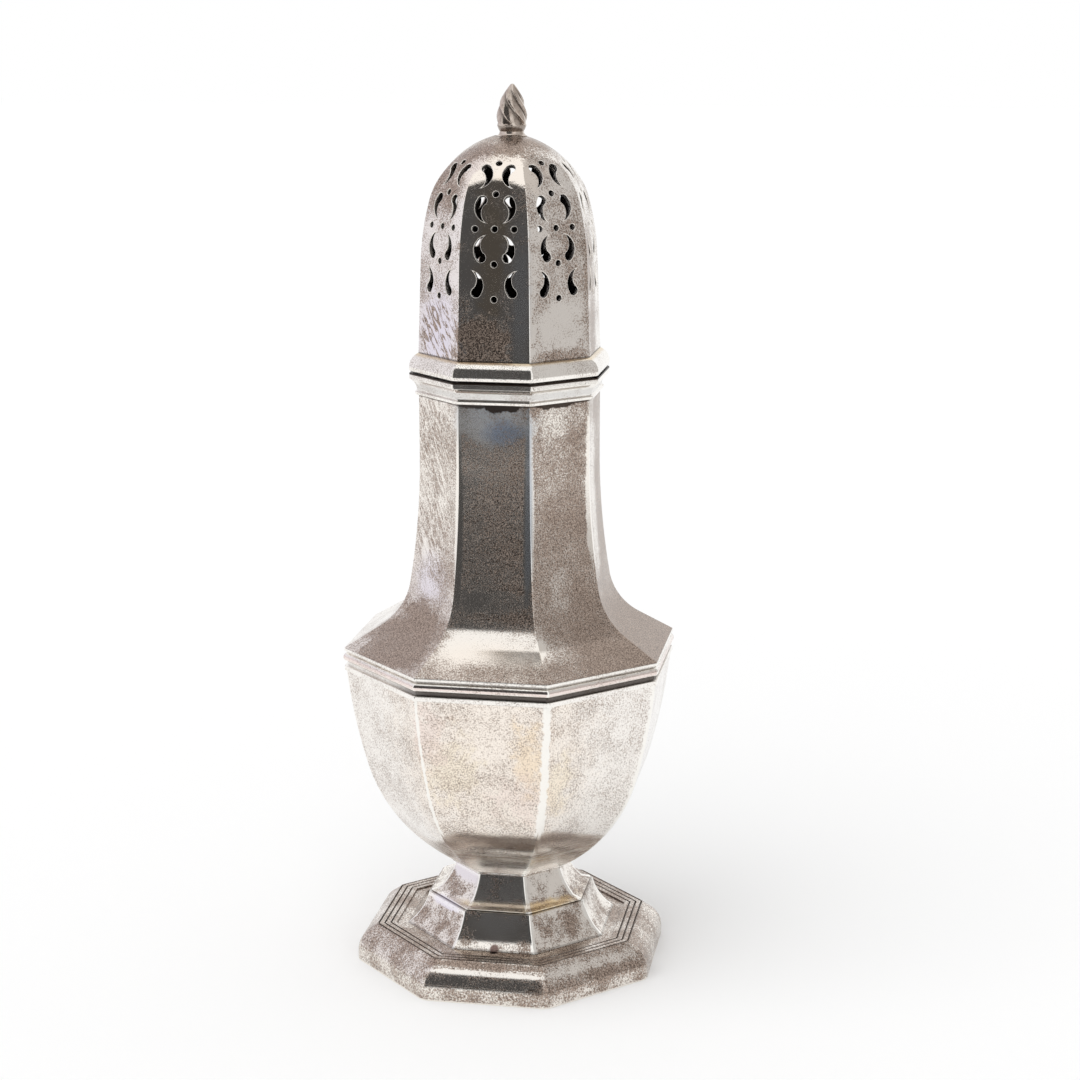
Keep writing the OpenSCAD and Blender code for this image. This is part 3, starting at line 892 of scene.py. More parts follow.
def add(tree, kind, *values, out=0, **settings):
    """Adds a node, fills its inputs in order, and returns one of its outputs."""
    made = tree.nodes.new(kind)
    for name, value in settings.items():
        setattr(made, name, value)
    for socket, value in zip(made.inputs, values):
        set_or_link(tree, socket, value)
    return made.outputs[out]


def sums(tree, operation, *values, clamp=False):
    return add(tree, "ShaderNodeMath", *values, operation=operation, use_clamp=clamp)


def ramp(tree, value, low, high, to_low=0.0, to_high=1.0):
    """A smooth step of a value from low to high."""
    return add(tree, "ShaderNodeMapRange", value, low, high, to_low, to_high,
               interpolation_type="SMOOTHSTEP")


def mixed(tree, share, one, other):
    """A colour between two others."""
    made = tree.nodes.new("ShaderNodeMix")
    made.data_type = "RGBA"
    for socket, value in zip((made.inputs[0], made.inputs[6], made.inputs[7]), (share, one, other)):
        set_or_link(tree, socket, (*value, 1) if isinstance(value, tuple) else value)
    return made.outputs[2]


def object_place(tree):
    return add(tree, "ShaderNodeTexCoord", out=3)


def noise(tree, place, scale, detail, rough):
    return add(tree, "ShaderNodeTexNoise", place, None, scale, detail, rough)


def mark_of(tree, name):
    """A mark that a piece's mesh carries."""
    return add(tree, "ShaderNodeAttribute", attribute_name=name, out=2)


def new_group(name, inputs, outputs):
    """A node group. Returns it with the sockets to read from and to write to."""
    tree = bpy.data.node_groups.new(name, "ShaderNodeTree")
    for label, value in inputs.items():
        kind = "NodeSocketVector" if isinstance(value, tuple) else "NodeSocketFloat"
        tree.interface.new_socket(label, in_out="INPUT", socket_type=kind).default_value = value
    for label in outputs:
        tree.interface.new_socket(label, in_out="OUTPUT", socket_type="NodeSocketFloat")
    print("group", name, "gives", ", ".join(outputs))
    return tree, tree.nodes.new("NodeGroupInput").outputs, tree.nodes.new("NodeGroupOutput").inputs


def use(tree, group, **values):
    """Places a group with its own values and returns its outputs by name."""
    made = tree.nodes.new("ShaderNodeGroup")
    made.node_tree = group
    for label, value in values.items():
        set_or_link(tree, made.inputs[label], value)
    return made.outputs


test_tree = bpy.data.node_groups.new("test", "ShaderNodeTree")
ramp(test_tree, sums(test_tree, "ADD", 0.2, 0.3), 0.0, 1.0)
print("a ramp of a sum takes", len(test_tree.nodes), "nodes")
bpy.data.node_groups.remove(test_tree)

# %% [markdown]
# ## Place on a facet
# Wear and tarnish follow the shape: corners are rubbed bright, and polishing strokes run across each facet.
# This group folds the eight facets onto one by the angle round the axis. It gives the distance across the
# facet, the distance from the nearest corner, the height, the place to the right, all in millimetres, and
# the facet's number.

# %% Build the facet group
facet_group, _, group_out = new_group("facet_place", {}, ("Across", "Corner", "Height", "Facet", "Right"))
tree = facet_group
separate = tree.nodes.new("ShaderNodeSeparateXYZ")
tree.links.new(object_place(tree), separate.inputs[0])
x_mm, y_mm, z_mm = (sums(tree, "MULTIPLY", axis, 1 / MM) for axis in separate.outputs)
turn = sums(tree, "DIVIDE", sums(tree, "ARCTAN2", y_mm, x_mm), FACET_TURN)
number = sums(tree, "FLOOR", sums(tree, "ADD", turn, 0.5))
folded = sums(tree, "MULTIPLY", sums(tree, "SUBTRACT", turn, number), FACET_TURN)
squares = (sums(tree, "MULTIPLY", axis, axis) for axis in (x_mm, y_mm))
radius = sums(tree, "SQRT", sums(tree, "ADD", *squares))
across = sums(tree, "MULTIPLY", radius, sums(tree, "SINE", folded))
reach = sums(tree, "MULTIPLY", sums(tree, "MULTIPLY", radius, sums(tree, "COSINE", folded)), MITRE)
corner = sums(tree, "SUBTRACT", reach, sums(tree, "ABSOLUTE", across))
facet = sums(tree, "FLOORED_MODULO", number, float(FACETS))
places = {"Across": across, "Corner": corner, "Height": z_mm, "Facet": facet, "Right": x_mm}
for label, value in places.items():
    tree.links.new(value, group_out[label])

# %% [markdown]
# ## Tarnish
# Silver sulphide starts as fine brown specks that grow together into patches. The group compares a fine
# noise with a threshold, and the threshold falls where a coarse noise says that a patch is. It could be
# painted by hand, but noise in Object coordinates needs no unwrapping and runs on from piece to piece. Extra
# is for places that a finish knows to be more or less tarnished than the rest. Fleck is one more noise, for
# the film's own grain where it covers everything.

# %% Build the tarnish group
fine_range = (0.25, 0.75)
fleck_range = (0.36, 0.64)
fleck_finer = 1.1
patch_range = (0.3, 0.7)
tarnish_inputs = {"Amount": 0.4, "Extra": 0.0, "Grain": 0.26, "Patch": 9.0, "Patchiness": 0.3,
                  "Softness": 0.3}
tarnish_group, group_in, group_out = new_group("tarnish", tarnish_inputs, ("Cover", "Grain", "Fleck"))
tree = tarnish_group
place = object_place(tree)
grain_scale = sums(tree, "DIVIDE", 1 / MM, group_in["Grain"])
fleck_scale = sums(tree, "DIVIDE", fleck_finer / MM, group_in["Grain"])
patch_scale = sums(tree, "DIVIDE", 1 / MM, group_in["Patch"])
fine = ramp(tree, noise(tree, place, grain_scale, detail=3.0, rough=0.65), *fine_range)
fleck = ramp(tree, noise(tree, place, fleck_scale, detail=4.0, rough=0.7), *fleck_range)
patch = ramp(tree, noise(tree, place, patch_scale, detail=5.0, rough=0.62), *patch_range, -1.0, 1.0)
level = sums(tree, "ADD", group_in["Amount"], group_in["Extra"])
level = sums(tree, "ADD", level, sums(tree, "MULTIPLY", patch, group_in["Patchiness"]))
threshold = sums(tree, "SUBTRACT", 1.0, level)
low_edge = sums(tree, "SUBTRACT", threshold, group_in["Softness"])
high_edge = sums(tree, "ADD", threshold, group_in["Softness"])
cover = ramp(tree, fine, low_edge, high_edge)
for label, value in {"Cover": cover, "Grain": fine, "Fleck": fleck}.items():
    tree.links.new(value, group_out[label])

# %% [markdown]
# ## Wear and strokes
# Hands and cloths rub the corners bright in a ragged band, and polishing leaves slanting strokes on a facet.
# The wear is the distance from a corner, made uneven by noise. The strokes are noise that is stretched along
# a slant, and the number of the facet shifts it, so that no two facets have the same strokes.

# %% Build the groups for wear and strokes
wear_grain = 1.3
wear_ragged = 2.6
wear_edge = (0.75, 1.15)
stroke_range = (0.38, 0.62)
stroke_bend = 1.2
facets_apart = 37.0


def ragged_noise(tree, size, detail, rough):
    """Noise about zero, with grains of a size in millimetres."""
    return sums(tree, "SUBTRACT", noise(tree, object_place(tree), 1 / (size * MM), detail, rough), 0.5)


wear_group, group_in, group_out = new_group("corner_wear", {"Width": 0.8}, ("Rubbed",))
tree = wear_group
distance = sums(tree, "DIVIDE", use(tree, facet_group)["Corner"], group_in["Width"])
ragged = sums(tree, "MULTIPLY", ragged_noise(tree, wear_grain, detail=5.0, rough=0.7), wear_ragged)
distance = sums(tree, "ADD", distance, ragged)
tree.links.new(ramp(tree, distance, *wear_edge, 1.0, 0.0), group_out["Rubbed"])

stroke_inputs = {"Turn": 0.9, "Length": 3.2, "Width": 0.6}
stroke_group, group_in, group_out = new_group("polish_strokes", stroke_inputs, ("Stroke",))
tree = stroke_group
on_facet = use(tree, facet_group)
facet_shift = sums(tree, "MULTIPLY", on_facet["Facet"], facets_apart)
flat = add(tree, "ShaderNodeCombineXYZ", on_facet["Across"], on_facet["Height"], facet_shift)
slant = add(tree, "ShaderNodeVectorRotate", flat, None, (0, 0, 1), group_in["Turn"])
thin = add(tree, "ShaderNodeCombineXYZ", sums(tree, "DIVIDE", 1.0, group_in["Length"]),
           sums(tree, "DIVIDE", 1.0, group_in["Width"]), 1.0)
slim = add(tree, "ShaderNodeVectorMath", slant, thin, operation="MULTIPLY")
stroke = noise(tree, slim, 1.0, detail=5.0, rough=0.65)
stroke.node.inputs["Distortion"].default_value = stroke_bend
tree.links.new(ramp(tree, stroke, *stroke_range), group_out["Stroke"])

# %% [markdown]
# ## Soil, painted shade and stains
# Dirt and old polish dry in the angle under a moulding, as a band at a level with a ragged edge. The same
# band also paints shade, in a crease and under the cover's rim. A stain is a ragged spot of any size at a
# place on the caster, given by its middle and its half widths in millimetres. Both are a distance, made
# uneven by noise and turned into a mask. They need no painted image.

# %% Build the groups for soil, painted shade and stains
drip_grain = 2.6
drip_reach = 4.0
soil_edge = (0.7, 1.1)
stain_grain = 3.0
stain_reach = 5.0

soil_and_shade_inputs = {"Level": 0.0, "Reach": 1.0, "Ragged": 0.3}
# This band group paints dirt, and at some levels painted shade.
soil_and_shade_group, group_in, group_out = new_group("crevice_soil_and_shade", soil_and_shade_inputs, ("Soil",))
tree = soil_and_shade_group
away = sums(tree, "SUBTRACT", use(tree, facet_group)["Height"], group_in["Level"])
away = sums(tree, "DIVIDE", sums(tree, "ABSOLUTE", away), group_in["Reach"])
edge_noise = sums(tree, "MULTIPLY", ragged_noise(tree, drip_grain, detail=5.0, rough=0.65),
             sums(tree, "MULTIPLY", group_in["Ragged"], drip_reach))
tree.links.new(ramp(tree, sums(tree, "ADD", away, edge_noise), *soil_edge, 1.0, 0.0), group_out["Soil"])

stain_inputs = {"Middle": (0, 0, 0), "Size": (1, 1, 1), "Ragged": 0.3, "Edge": 0.3}
stain_group, group_in, group_out = new_group("stain", stain_inputs, ("Stain",))
tree = stain_group
away = add(tree, "ShaderNodeVectorMath", object_place(tree), (1 / MM, 1 / MM, 1 / MM), operation="MULTIPLY")
away = add(tree, "ShaderNodeVectorMath", away, group_in["Middle"], operation="SUBTRACT")
away = add(tree, "ShaderNodeVectorMath", away, group_in["Size"], operation="DIVIDE")
away = add(tree, "ShaderNodeVectorMath", away, operation="LENGTH", out=1)
wander = sums(tree, "MULTIPLY", ragged_noise(tree, stain_grain, detail=6.0, rough=0.7),
              sums(tree, "MULTIPLY", group_in["Ragged"], stain_reach))
inner = sums(tree, "SUBTRACT", 1.0, group_in["Edge"])
outer = sums(tree, "ADD", 1.0, group_in["Edge"])
tree.links.new(ramp(tree, sums(tree, "ADD", away, wander), inner, outer, 1.0, 0.0), group_out["Stain"])

# %% [markdown]
# ## The silver
# Each piece has the same metal in another state. Clean silver is a warm, nearly white mirror. Tarnish is
# brown, a little rougher and only partly metallic, because a film of sulphide scatters light. A finish is
# therefore a short list: how much tarnish, how wide the rubbed corners, where the soil and painted shade
# lie, and which spots differ. The plain finish below has a default for everything in the list.

# %% Describe a finish
CLEAN = (0.93, 0.885, 0.825)
RUBBED = (0.975, 0.955, 0.91)
BROWN = (0.135, 0.10, 0.08)
PALE_BROWN = (0.53, 0.42, 0.35)
# The soil colour serves for dirt and also for painted shade in a crease and under the cover's rim.
SOIL_AND_SHADE = (0.05, 0.035, 0.028)
# The colour of the back of the sheet: tarnish of the unpolished insides, deepened as painted shade.
SULPHIDE_AND_SHADE = (0.035, 0.028, 0.024)
Spot = namedtuple("Spot", "strength middle size ragged edge", defaults=(0.3, 0.3))
Tone = namedtuple("Tone", "colour strength middle size ragged edge haze streaked",
                  defaults=(0.3, 0.3, 0.0, False))
Line = namedtuple("Line", "level reach ragged strength", defaults=(0.3, 1.0))
Rise = namedtuple("Rise", "start stop strength")
plain_finish = {
    "metal": CLEAN, "polish": 0.1, "rubbed": 0.5, "tones": (),
    "amount": 0.4, "grain": 0.26, "patch": 9.0, "patchiness": 0.25, "softness": 0.35,
    "rightward": 0.0, "rises": (), "spots": (),
    "strokes": (), "stroke_turn": 0.9, "stroke_size": (3.2, 0.6),
    "soils": (), "lines": (), "soiled": 0.9, "soiled_left": 0.9,
}
Finish = namedtuple("Finish", plain_finish, defaults=plain_finish.values())
print("a finish has", len(Finish._fields), "values")

# %% [markdown]
# The finish is put together in layers, mostly as it came about on the caster. Tarnish covers the metal,
# strokes and rubbing take some of it off, tones colour the bare metal, some of them as painted reflections,
# and soil and painted shade lie on top. Corners are rubbed wider to the right, where the hand holds the
# caster, and the hollows can be cleaner on the left.

# %% Lay the film, the soil and the painted shade
right_reach = 30.0
wear_turn = 12.0
wear_on_left = 0.45
wear_share = 0.95
soil_turn = (-22.0, -10.0)


def stain_of(tree, spot):
    mask = use(tree, stain_group, Middle=spot.middle, Size=spot.size, Ragged=spot.ragged, Edge=spot.edge)
    return sums(tree, "MULTIPLY", mask["Stain"], spot.strength)


def film_of(tree, finish, on_facet):
    """The tarnish, with more or less of it to the right, up the piece and at its spots."""
    extra = sums(tree, "MULTIPLY", on_facet["Right"], finish.rightward / right_reach)
    for rise in finish.rises:
        more = ramp(tree, on_facet["Height"], rise.start, rise.stop, 0.0, rise.strength)
        extra = sums(tree, "ADD", extra, more)
    for spot in finish.spots:
        extra = sums(tree, "ADD", extra, stain_of(tree, spot))
    return use(tree, tarnish_group, Amount=finish.amount, Extra=extra, Grain=finish.grain,
               Patch=finish.patch, Patchiness=finish.patchiness, Softness=finish.softness)


def wear_of(tree, finish, on_facet):
    """How far the corners are rubbed bright."""
    width = ramp(tree, on_facet["Right"], -wear_turn, wear_turn, wear_on_left * finish.rubbed, finish.rubbed)
    rubbed = use(tree, wear_group, Width=width)["Rubbed"]
    return sums(tree, "MULTIPLY", rubbed, wear_share if finish.rubbed else 0.0)


def soil_and_shade_of(tree, finish, on_facet):
    """Dirt in marked hollows, bands of dirt and of painted shade at a level, and dirt at spots."""
    share = ramp(tree, on_facet["Right"], *soil_turn, finish.soiled_left, finish.soiled)
    soil_and_shade = sums(tree, "MULTIPLY", mark_of(tree, "hollow"), share)
    for line in finish.lines:
        band = use(tree, soil_and_shade_group, Level=line.level, Reach=line.reach, Ragged=line.ragged)["Soil"]
        soil_and_shade = sums(tree, "MAXIMUM", soil_and_shade, sums(tree, "MULTIPLY", band, line.strength))
    for spot in finish.soils:
        soil_and_shade = sums(tree, "MAXIMUM", soil_and_shade, stain_of(tree, spot))
    return soil_and_shade


print("soil grows from", soil_turn[0], "to", soil_turn[1], "mm beside the axis")

# %% [markdown]
# One function joins the layers to a Principled shader. Colour, roughness and metalness each follow the film,
# the soil and painted shade, and the marks of the mesh. A very shallow bump keeps reflections in the
# hand-raised sheet from being ruler-straight, and a second one gives the film its grain.

# %% Define the silver
haze_range = (0.2, 0.95)
dull_rough = 0.38
burnish_rough = 0.25
hazy_metal = 0.72
wave_size = 9.0
wave_height = 2 * MM
wave_strength = 0.02
grain_height = 0.2 * MM
grain_strength = 0.025


def silver(name, **changes):
    """A silver finish, given by what differs from the plain one."""
    finish = Finish(**changes)
    material = bpy.data.materials.new(name)
    material.use_nodes = True
    tree = material.node_tree
    on_facet = use(tree, facet_group)
    film = film_of(tree, finish, on_facet)
    length, width = finish.stroke_size
    stroke = use(tree, stroke_group, Turn=finish.stroke_turn, Length=length, Width=width)["Stroke"]
    cover = film["Cover"]
    for spot in finish.strokes:
        more_or_less = sums(tree, "MULTIPLY", sums(tree, "SUBTRACT", stroke, 0.5), stain_of(tree, spot))
        cover = sums(tree, "ADD", cover, more_or_less, clamp=True)
    wear = wear_of(tree, finish, on_facet)
    cover = sums(tree, "MULTIPLY", cover, sums(tree, "SUBTRACT", 1.0, wear))
    fleck_haze = add(tree, "ShaderNodeMapRange", film["Fleck"], 0.0, 1.0, *haze_range)
    haze = sums(tree, "MULTIPLY", cover, fleck_haze)
    colour = finish.metal
    for tone in finish.tones:
        share = stain_of(tree, tone)
        if tone.streaked:
            share = sums(tree, "MULTIPLY", share, stroke)
        colour = mixed(tree, share, colour, tone.colour)
        if tone.haze:
            haze = sums(tree, "MAXIMUM", haze, sums(tree, "MULTIPLY", share, tone.haze))
    colour = mixed(tree, wear, colour, RUBBED)
    colour = mixed(tree, cover, colour, mixed(tree, film["Fleck"], BROWN, PALE_BROWN))
    soil_and_shade = soil_and_shade_of(tree, finish, on_facet)
    burnished = mark_of(tree, "burnish")
    inside = mark_of(tree, "back")
    colour = mixed(tree, burnished, mixed(tree, soil_and_shade, colour, SOIL_AND_SHADE), CLEAN)
    # The back of the sheet is painted nearly black: tarnish of the unpolished insides, deepened as painted
    # shade.
    colour = mixed(tree, inside, colour, SULPHIDE_AND_SHADE)
    dull = sums(tree, "MAXIMUM", haze, sums(tree, "MAXIMUM", soil_and_shade, inside))
    rough = sums(tree, "ADD", add(tree, "ShaderNodeMapRange", dull, 0.0, 1.0, finish.polish, dull_rough),
                 sums(tree, "MULTIPLY", burnished, burnish_rough))
    bare = sums(tree, "SUBTRACT", 1.0, soil_and_shade, clamp=True)
    hazy = sums(tree, "MULTIPLY", sums(tree, "MAXIMUM", haze, inside), bare)
    metallic = add(tree, "ShaderNodeMapRange", hazy, 0.0, 1.0, 1.0, hazy_metal)
    waves = noise(tree, object_place(tree), 1 / (wave_size * MM), detail=2.0, rough=0.4)
    wave = add(tree, "ShaderNodeBump", wave_strength, wave_height, None, waves)
    bump = add(tree, "ShaderNodeBump", grain_strength, grain_height, None, film["Grain"])
    tree.links.new(wave, bump.node.inputs["Normal"])
    results = {"Base Color": colour, "Roughness": rough, "Metallic": metallic, "Normal": bump}
    for label, value in results.items():
        tree.links.new(value, tree.nodes["Principled BSDF"].inputs[label])
    print("finish", name, "has", len(tree.nodes), "nodes")
    return material


def dress(material, *nodes):
    for node in nodes:
        pieces[node].data.materials.append(material)


print("under the film the silver is", hazy_metal, "metallic, with a roughness of", dull_rough)

# %% [markdown]
# ## Finish the foot and stem
# The foot is handled most and washed least, so it is speckled all over, darkest on its flat. Where the stem
# flares, a gold band is painted as the reflection of the bowl's brown underside, and lilac is painted on
# the left as the reflection of the pale flag there. One round blemish sits at the foot of the front cove,
# and a soft band of painted shade lies in the crease at the cove's foot. A spot of negative strength takes
# tarnish away, and a positive one adds to it.

# %% Finish the foot and stem
GOLD = (0.74, 0.57, 0.33)
# The lilac colour is painted as the reflection of the pale flag at the left.
LILAC_REFLECTION = (0.86, 0.83, 0.91)
GREY = (0.66, 0.65, 0.64)
RUST = (0.22, 0.13, 0.115)
blemish = Tone(RUST, 0.95, (0.1, -20.4, 7.7), (0.95, 1.4, 0.95), 0.05, 0.2, 0.9)
foot_cleaner = [
    Spot(-0.6, (0, -28.4, 5.75), (12, 0.65, 0.6), 0.1, 0.2),
    Spot(-0.9, (0, 0, 0), (60, 60, 0.35), 0.1),
    Spot(-0.3, (0, -30, 4), (12, 2, 1.2), 0.1),
    Spot(-0.3, (21, -21, 5.9), (9, 9, 0.7), 0.2, 0.5),
]
foot_browner = [
    Spot(0.4, (0, -27, 6.8), (13, 0.7, 0.6), 0.1),
    Spot(0.35, (22, -22, 3.6), (13, 13, 1.3), 0.15, 0.5),
]
dress(silver("foot_silver", amount=0.62, grain=0.32, patch=6.0, rubbed=0, polish=0.14, soiled=0.7,
             soiled_left=0.62, rises=[Rise(6.8, 7.3, 0.13)], spots=foot_cleaner + foot_browner,
             soils=[blemish]),
      "foot_wire", "foot_flange")

stem_cleaner = [
    Spot(-0.35, (0, -17, 11), (6, 4, 4)),
    Spot(-0.2, (0, -12, 17.5), (5, 4, 3)),
    # This spot clears the film under the gold band painted as a reflection.
    Spot(-0.3, (3, -14, 14.2), (14, 14, 0.7)),
    # These two spots clear the film where lilac is painted as a reflection.
    Spot(-0.7, (-11, -11, 13.2), (6, 6, 0.8), 0.2),
    Spot(-0.5, (-8, -8, 19), (5, 5, 1.6), 0.2),
    Spot(-0.3, (9, -9, 17.5), (4, 4, 2.5), 0.3),
]
stem_browner = [
    Spot(0.45, (-10.5, -10.5, 16), (3.5, 3.5, 1.6), 0.3),
    Spot(0.3, (-13.5, -13.5, 10), (3.5, 3.5, 1.8), 0.3),
    Spot(0.15, (12, -12, 10.5), (6, 6, 3), 0.3),
]
stem_tones = [
    # Painted reflection: this gold band where the stem flares stands in for the bowl's brown underside.
    Tone(GOLD, 0.85, (5, -12, 14.3), (11, 11, 0.7), 0.5, 0.5),
    # These two lilac tones are painted reflections of the pale flag at the left.
    Tone(LILAC_REFLECTION, 0.8, (-11, -11, 13.2), (6, 6, 1.0), 0.2, 0.4),
    Tone(LILAC_REFLECTION, 0.5, (-8, -8, 19), (5, 5, 2), 0.2, 0.4),
    Tone(GREY, 0.6, (0, -14, 15), (6, 7, 7), 0.1, 0.3, 0.25),
    blemish,
]
dress(silver("stem_silver", amount=0.42, grain=0.3, patch=4.0, patchiness=0.45, rubbed=0.7,
             # The band at trough_level is painted shade in the crease at the cove's foot.
             lines=[Line(stem.low, 0.2, 0.4, 0.25), Line(trough_level, 0.35, 0.2, 0.4)],
             spots=stem_cleaner + stem_browner, tones=stem_tones),
      "foot_cove", "stem", "stem_collar")

# %% [markdown]
# ## Finish the bowl and girdle
# The bowl keeps a soft warm film, with yellow, orange and pink tones where the film is of another thickness
# near the front corners. Its underside shows the level strokes of polishing, as a dark tone and a light one
# that only shows in the strokes. On the girdle, a pink band along the middle of the reed is a painted
# reflection.

# %% Finish the bowl and girdle
WARM = (0.97, 0.88, 0.785)
ORANGE = (0.92, 0.72, 0.47)
YELLOW = (0.93, 0.82, 0.60)
PINK = (0.86, 0.71, 0.66)
TAUPE = (0.70, 0.62, 0.55)
bowl_tones = [
    Tone(WARM, 0.8, (2, -30, 48), (22, 10, 24), 0.3, 0.6),
    Tone(ORANGE, 0.5, (9, -29.5, 51), (2.8, 3, 7), 0.9, 0.5),
    Tone(YELLOW, 0.4, (-7, -29.3, 48), (5, 3, 7), 0.9, 0.5),
    Tone(PINK, 0.5, (-10.6, -30.7, 54), (3, 3, 7), 0.9, 0.5),
    Tone(PINK, 0.35, (8, -29, 42), (6, 4, 5), 0.9, 0.5),
    Tone(YELLOW, 0.4, (13.8, -26.5, 45), (3, 3, 6), 0.9, 0.5),
    Tone(TAUPE, 0.9, (0, 0, 22), (40, 40, 7), 0.05, 0.15, 0.6),
    Tone(CLEAN, 0.9, (0, 0, 22), (40, 40, 8.5), 0.05, 0.15, 1.0, True),
]
dress(silver("bowl_silver", metal=(0.95, 0.915, 0.87), amount=0.3, grain=0.28, patch=7.0, patchiness=0.16,
             softness=0.42, rubbed=0.9, stroke_turn=0.0, stroke_size=(9.0, 0.35),
             spots=[Spot(-0.15, (0, 0, 23), (40, 40, 5.5), 0.05, 0.2)], tones=bowl_tones),
      "bowl")
dress(silver("girdle_silver", metal=(0.96, 0.93, 0.885), amount=0.14, patchiness=0.2, softness=0.4,
             rubbed=0.3, polish=0.14, soiled_left=0.15,
             # Painted reflection: a pink band along the middle of the reed.
             tones=[Tone(PINK, 0.7, (0, 0, reed_level), (60, 60, 0.5), 0.3)]),
      "girdle")

# %% [markdown]
# ## Finish the neck
# The neck is the most tarnished piece: it was polished less often, because the mouldings are in the way. A
# blue film lies at the top of the front, rubbed stripes run down the front's corners, and dark soil hangs
# under the moulding. Beside the front's right corner a blue stripe is painted as the reflection in that
# rounded corner, and lilac is painted on the left as a reflection. The moulding and the cover's rim are the
# cleanest, though a band of painted shadow lies on the moulding's top under the cover's rim.

# %% Finish the neck
BLUE = (0.50, 0.53, 0.57)
DEEP_BLUE = (0.26, 0.33, 0.45)
neck_rubbed = [
    Spot(-0.9, (6.8, -17.5, 95), (1.0, 2, 22), 0.05),
    Spot(-0.8, (-7, -17.5, 95), (0.8, 2, 22), 0.08),
    Spot(-0.8, (17.3, -7.2, 95), (1.0, 1.0, 24), 0.1),
    Spot(-0.7, (10.2, -24.7, 71), (1.0, 3.4, 2.6), 0.15, 0.4),
]
neck_cleaner = [
    Spot(-0.7, (0.5, -24.8, 72.4), (15, 6, 3.3), 0.08, 0.5),
    Spot(-0.15, (0, -28, 69), (12, 6, 3.5), 0.4, 0.5),
    Spot(-0.4, (0, -19.5, 79.5), (7, 3, 2.2), 0.2),
    Spot(-0.5, (0.5, -17, 115), (7, 2, 5)),
    Spot(-0.3, (12, -12, 115), (6, 6, 3.5)),
    Spot(-0.25, (12.8, -14, 81), (3, 3, 4)),
    Spot(-0.5, (17.5, -4, 98), (3, 4, 20)),
    Spot(-0.9, (-15.4, -10.2, 87.6), (1.2, 1.2, 2.2)),
    # This spot clears the film where lilac is painted as a reflection.
    Spot(-0.3, (-13.8, -13.3, 80), (3, 3, 2)),
]
left_shoulder = Spot(0.7, (-19, -19, 71.5), (11, 11, 7))
neck_tones = [
    Tone(BLUE, 0.9, (0.5, -17, 116.5), (7.5, 2, 6), 0.15, 0.85, 0.75),
    Tone(DEEP_BLUE, 0.8, (2.3, -17, 112.6), (3.6, 2, 2.4), 0.35, 0.6, 0.6),
    # Painted reflection: a blue stripe beside the front's right corner, as its rounded edge would reflect.
    Tone(BLUE, 0.9, (6.8, -17.5, 96), (0.75, 2, 22), 0.05, 0.5, 0.25),
    Tone(WARM, 0.7, (0, -27, 69), (13, 7, 4), 0.1, 0.5),
    # Painted reflection: lilac on the left, as from the pale flag.
    Tone(LILAC_REFLECTION, 0.6, (-13.8, -13.3, 82), (5, 5, 5), 0.3, 0.6),
]
neck_drips = [
    Spot(0.95, (1.4, -17, 118.1), (4.4, 1.5, 1.65), 0.3, 0.1),
    Spot(0.9, (-3.0, -17, 118.1), (5.5, 1.5, 0.9), 0.3, 0.2),
    Spot(0.95, (11.4, -12.6, 118.1), (6.5, 6.5, 1.1), 0.3, 0.1),
]
dress(silver("neck_silver", amount=0.68, grain=0.26, patch=8.0, patchiness=0.18, softness=0.45,
             rightward=0.45, rubbed=0, rises=[Rise(88, 72, 0.08)],
             spots=neck_rubbed + neck_cleaner + [left_shoulder], tones=neck_tones, soils=neck_drips,
             lines=[Line(moulding.low, 0.45, 0.3, 0.7)],
             strokes=[Spot(0.9, (-14, -11, 102), (6, 6, 22))], stroke_turn=1.0),
      "shoulder_neck")
dress(silver("moulding_silver", metal=(0.97, 0.94, 0.89), amount=0.12, grain=0.24, softness=0.5, rubbed=0,
             # The band just under rim.low is painted shadow on the moulding's top, under the cover's rim.
             polish=0.12, lines=[Line(rim.low - 0.38, 0.36, 0.04)],
             tones=[Tone(GOLD, 0.7, (0, 0, rim.high + 0.1), (60, 60, 0.5), 0.25, 0.5),
                    Tone(GREY, 0.7, (0, 0, moulding.low + 1.6), (60, 60, 0.7), 0.3, 0.4, 0.2)]),
      "neck_moulding", "cover_rim")

# %% [markdown]
# ## Finish the cover
# The dome's front is brown at its foot, and its right facet is nearly clean above a soiled foot. The left
# facet shows slanting polish strokes and painted lilac, which stands in for a reflection. A blue stripe
# beside the front's right corner is a painted reflection too. The edges of the holes are burnished, which
# the dome's own mark tells the finish. The finial's hollows keep their dirt, and the bezel, hidden in the
# neck, is duller and even.

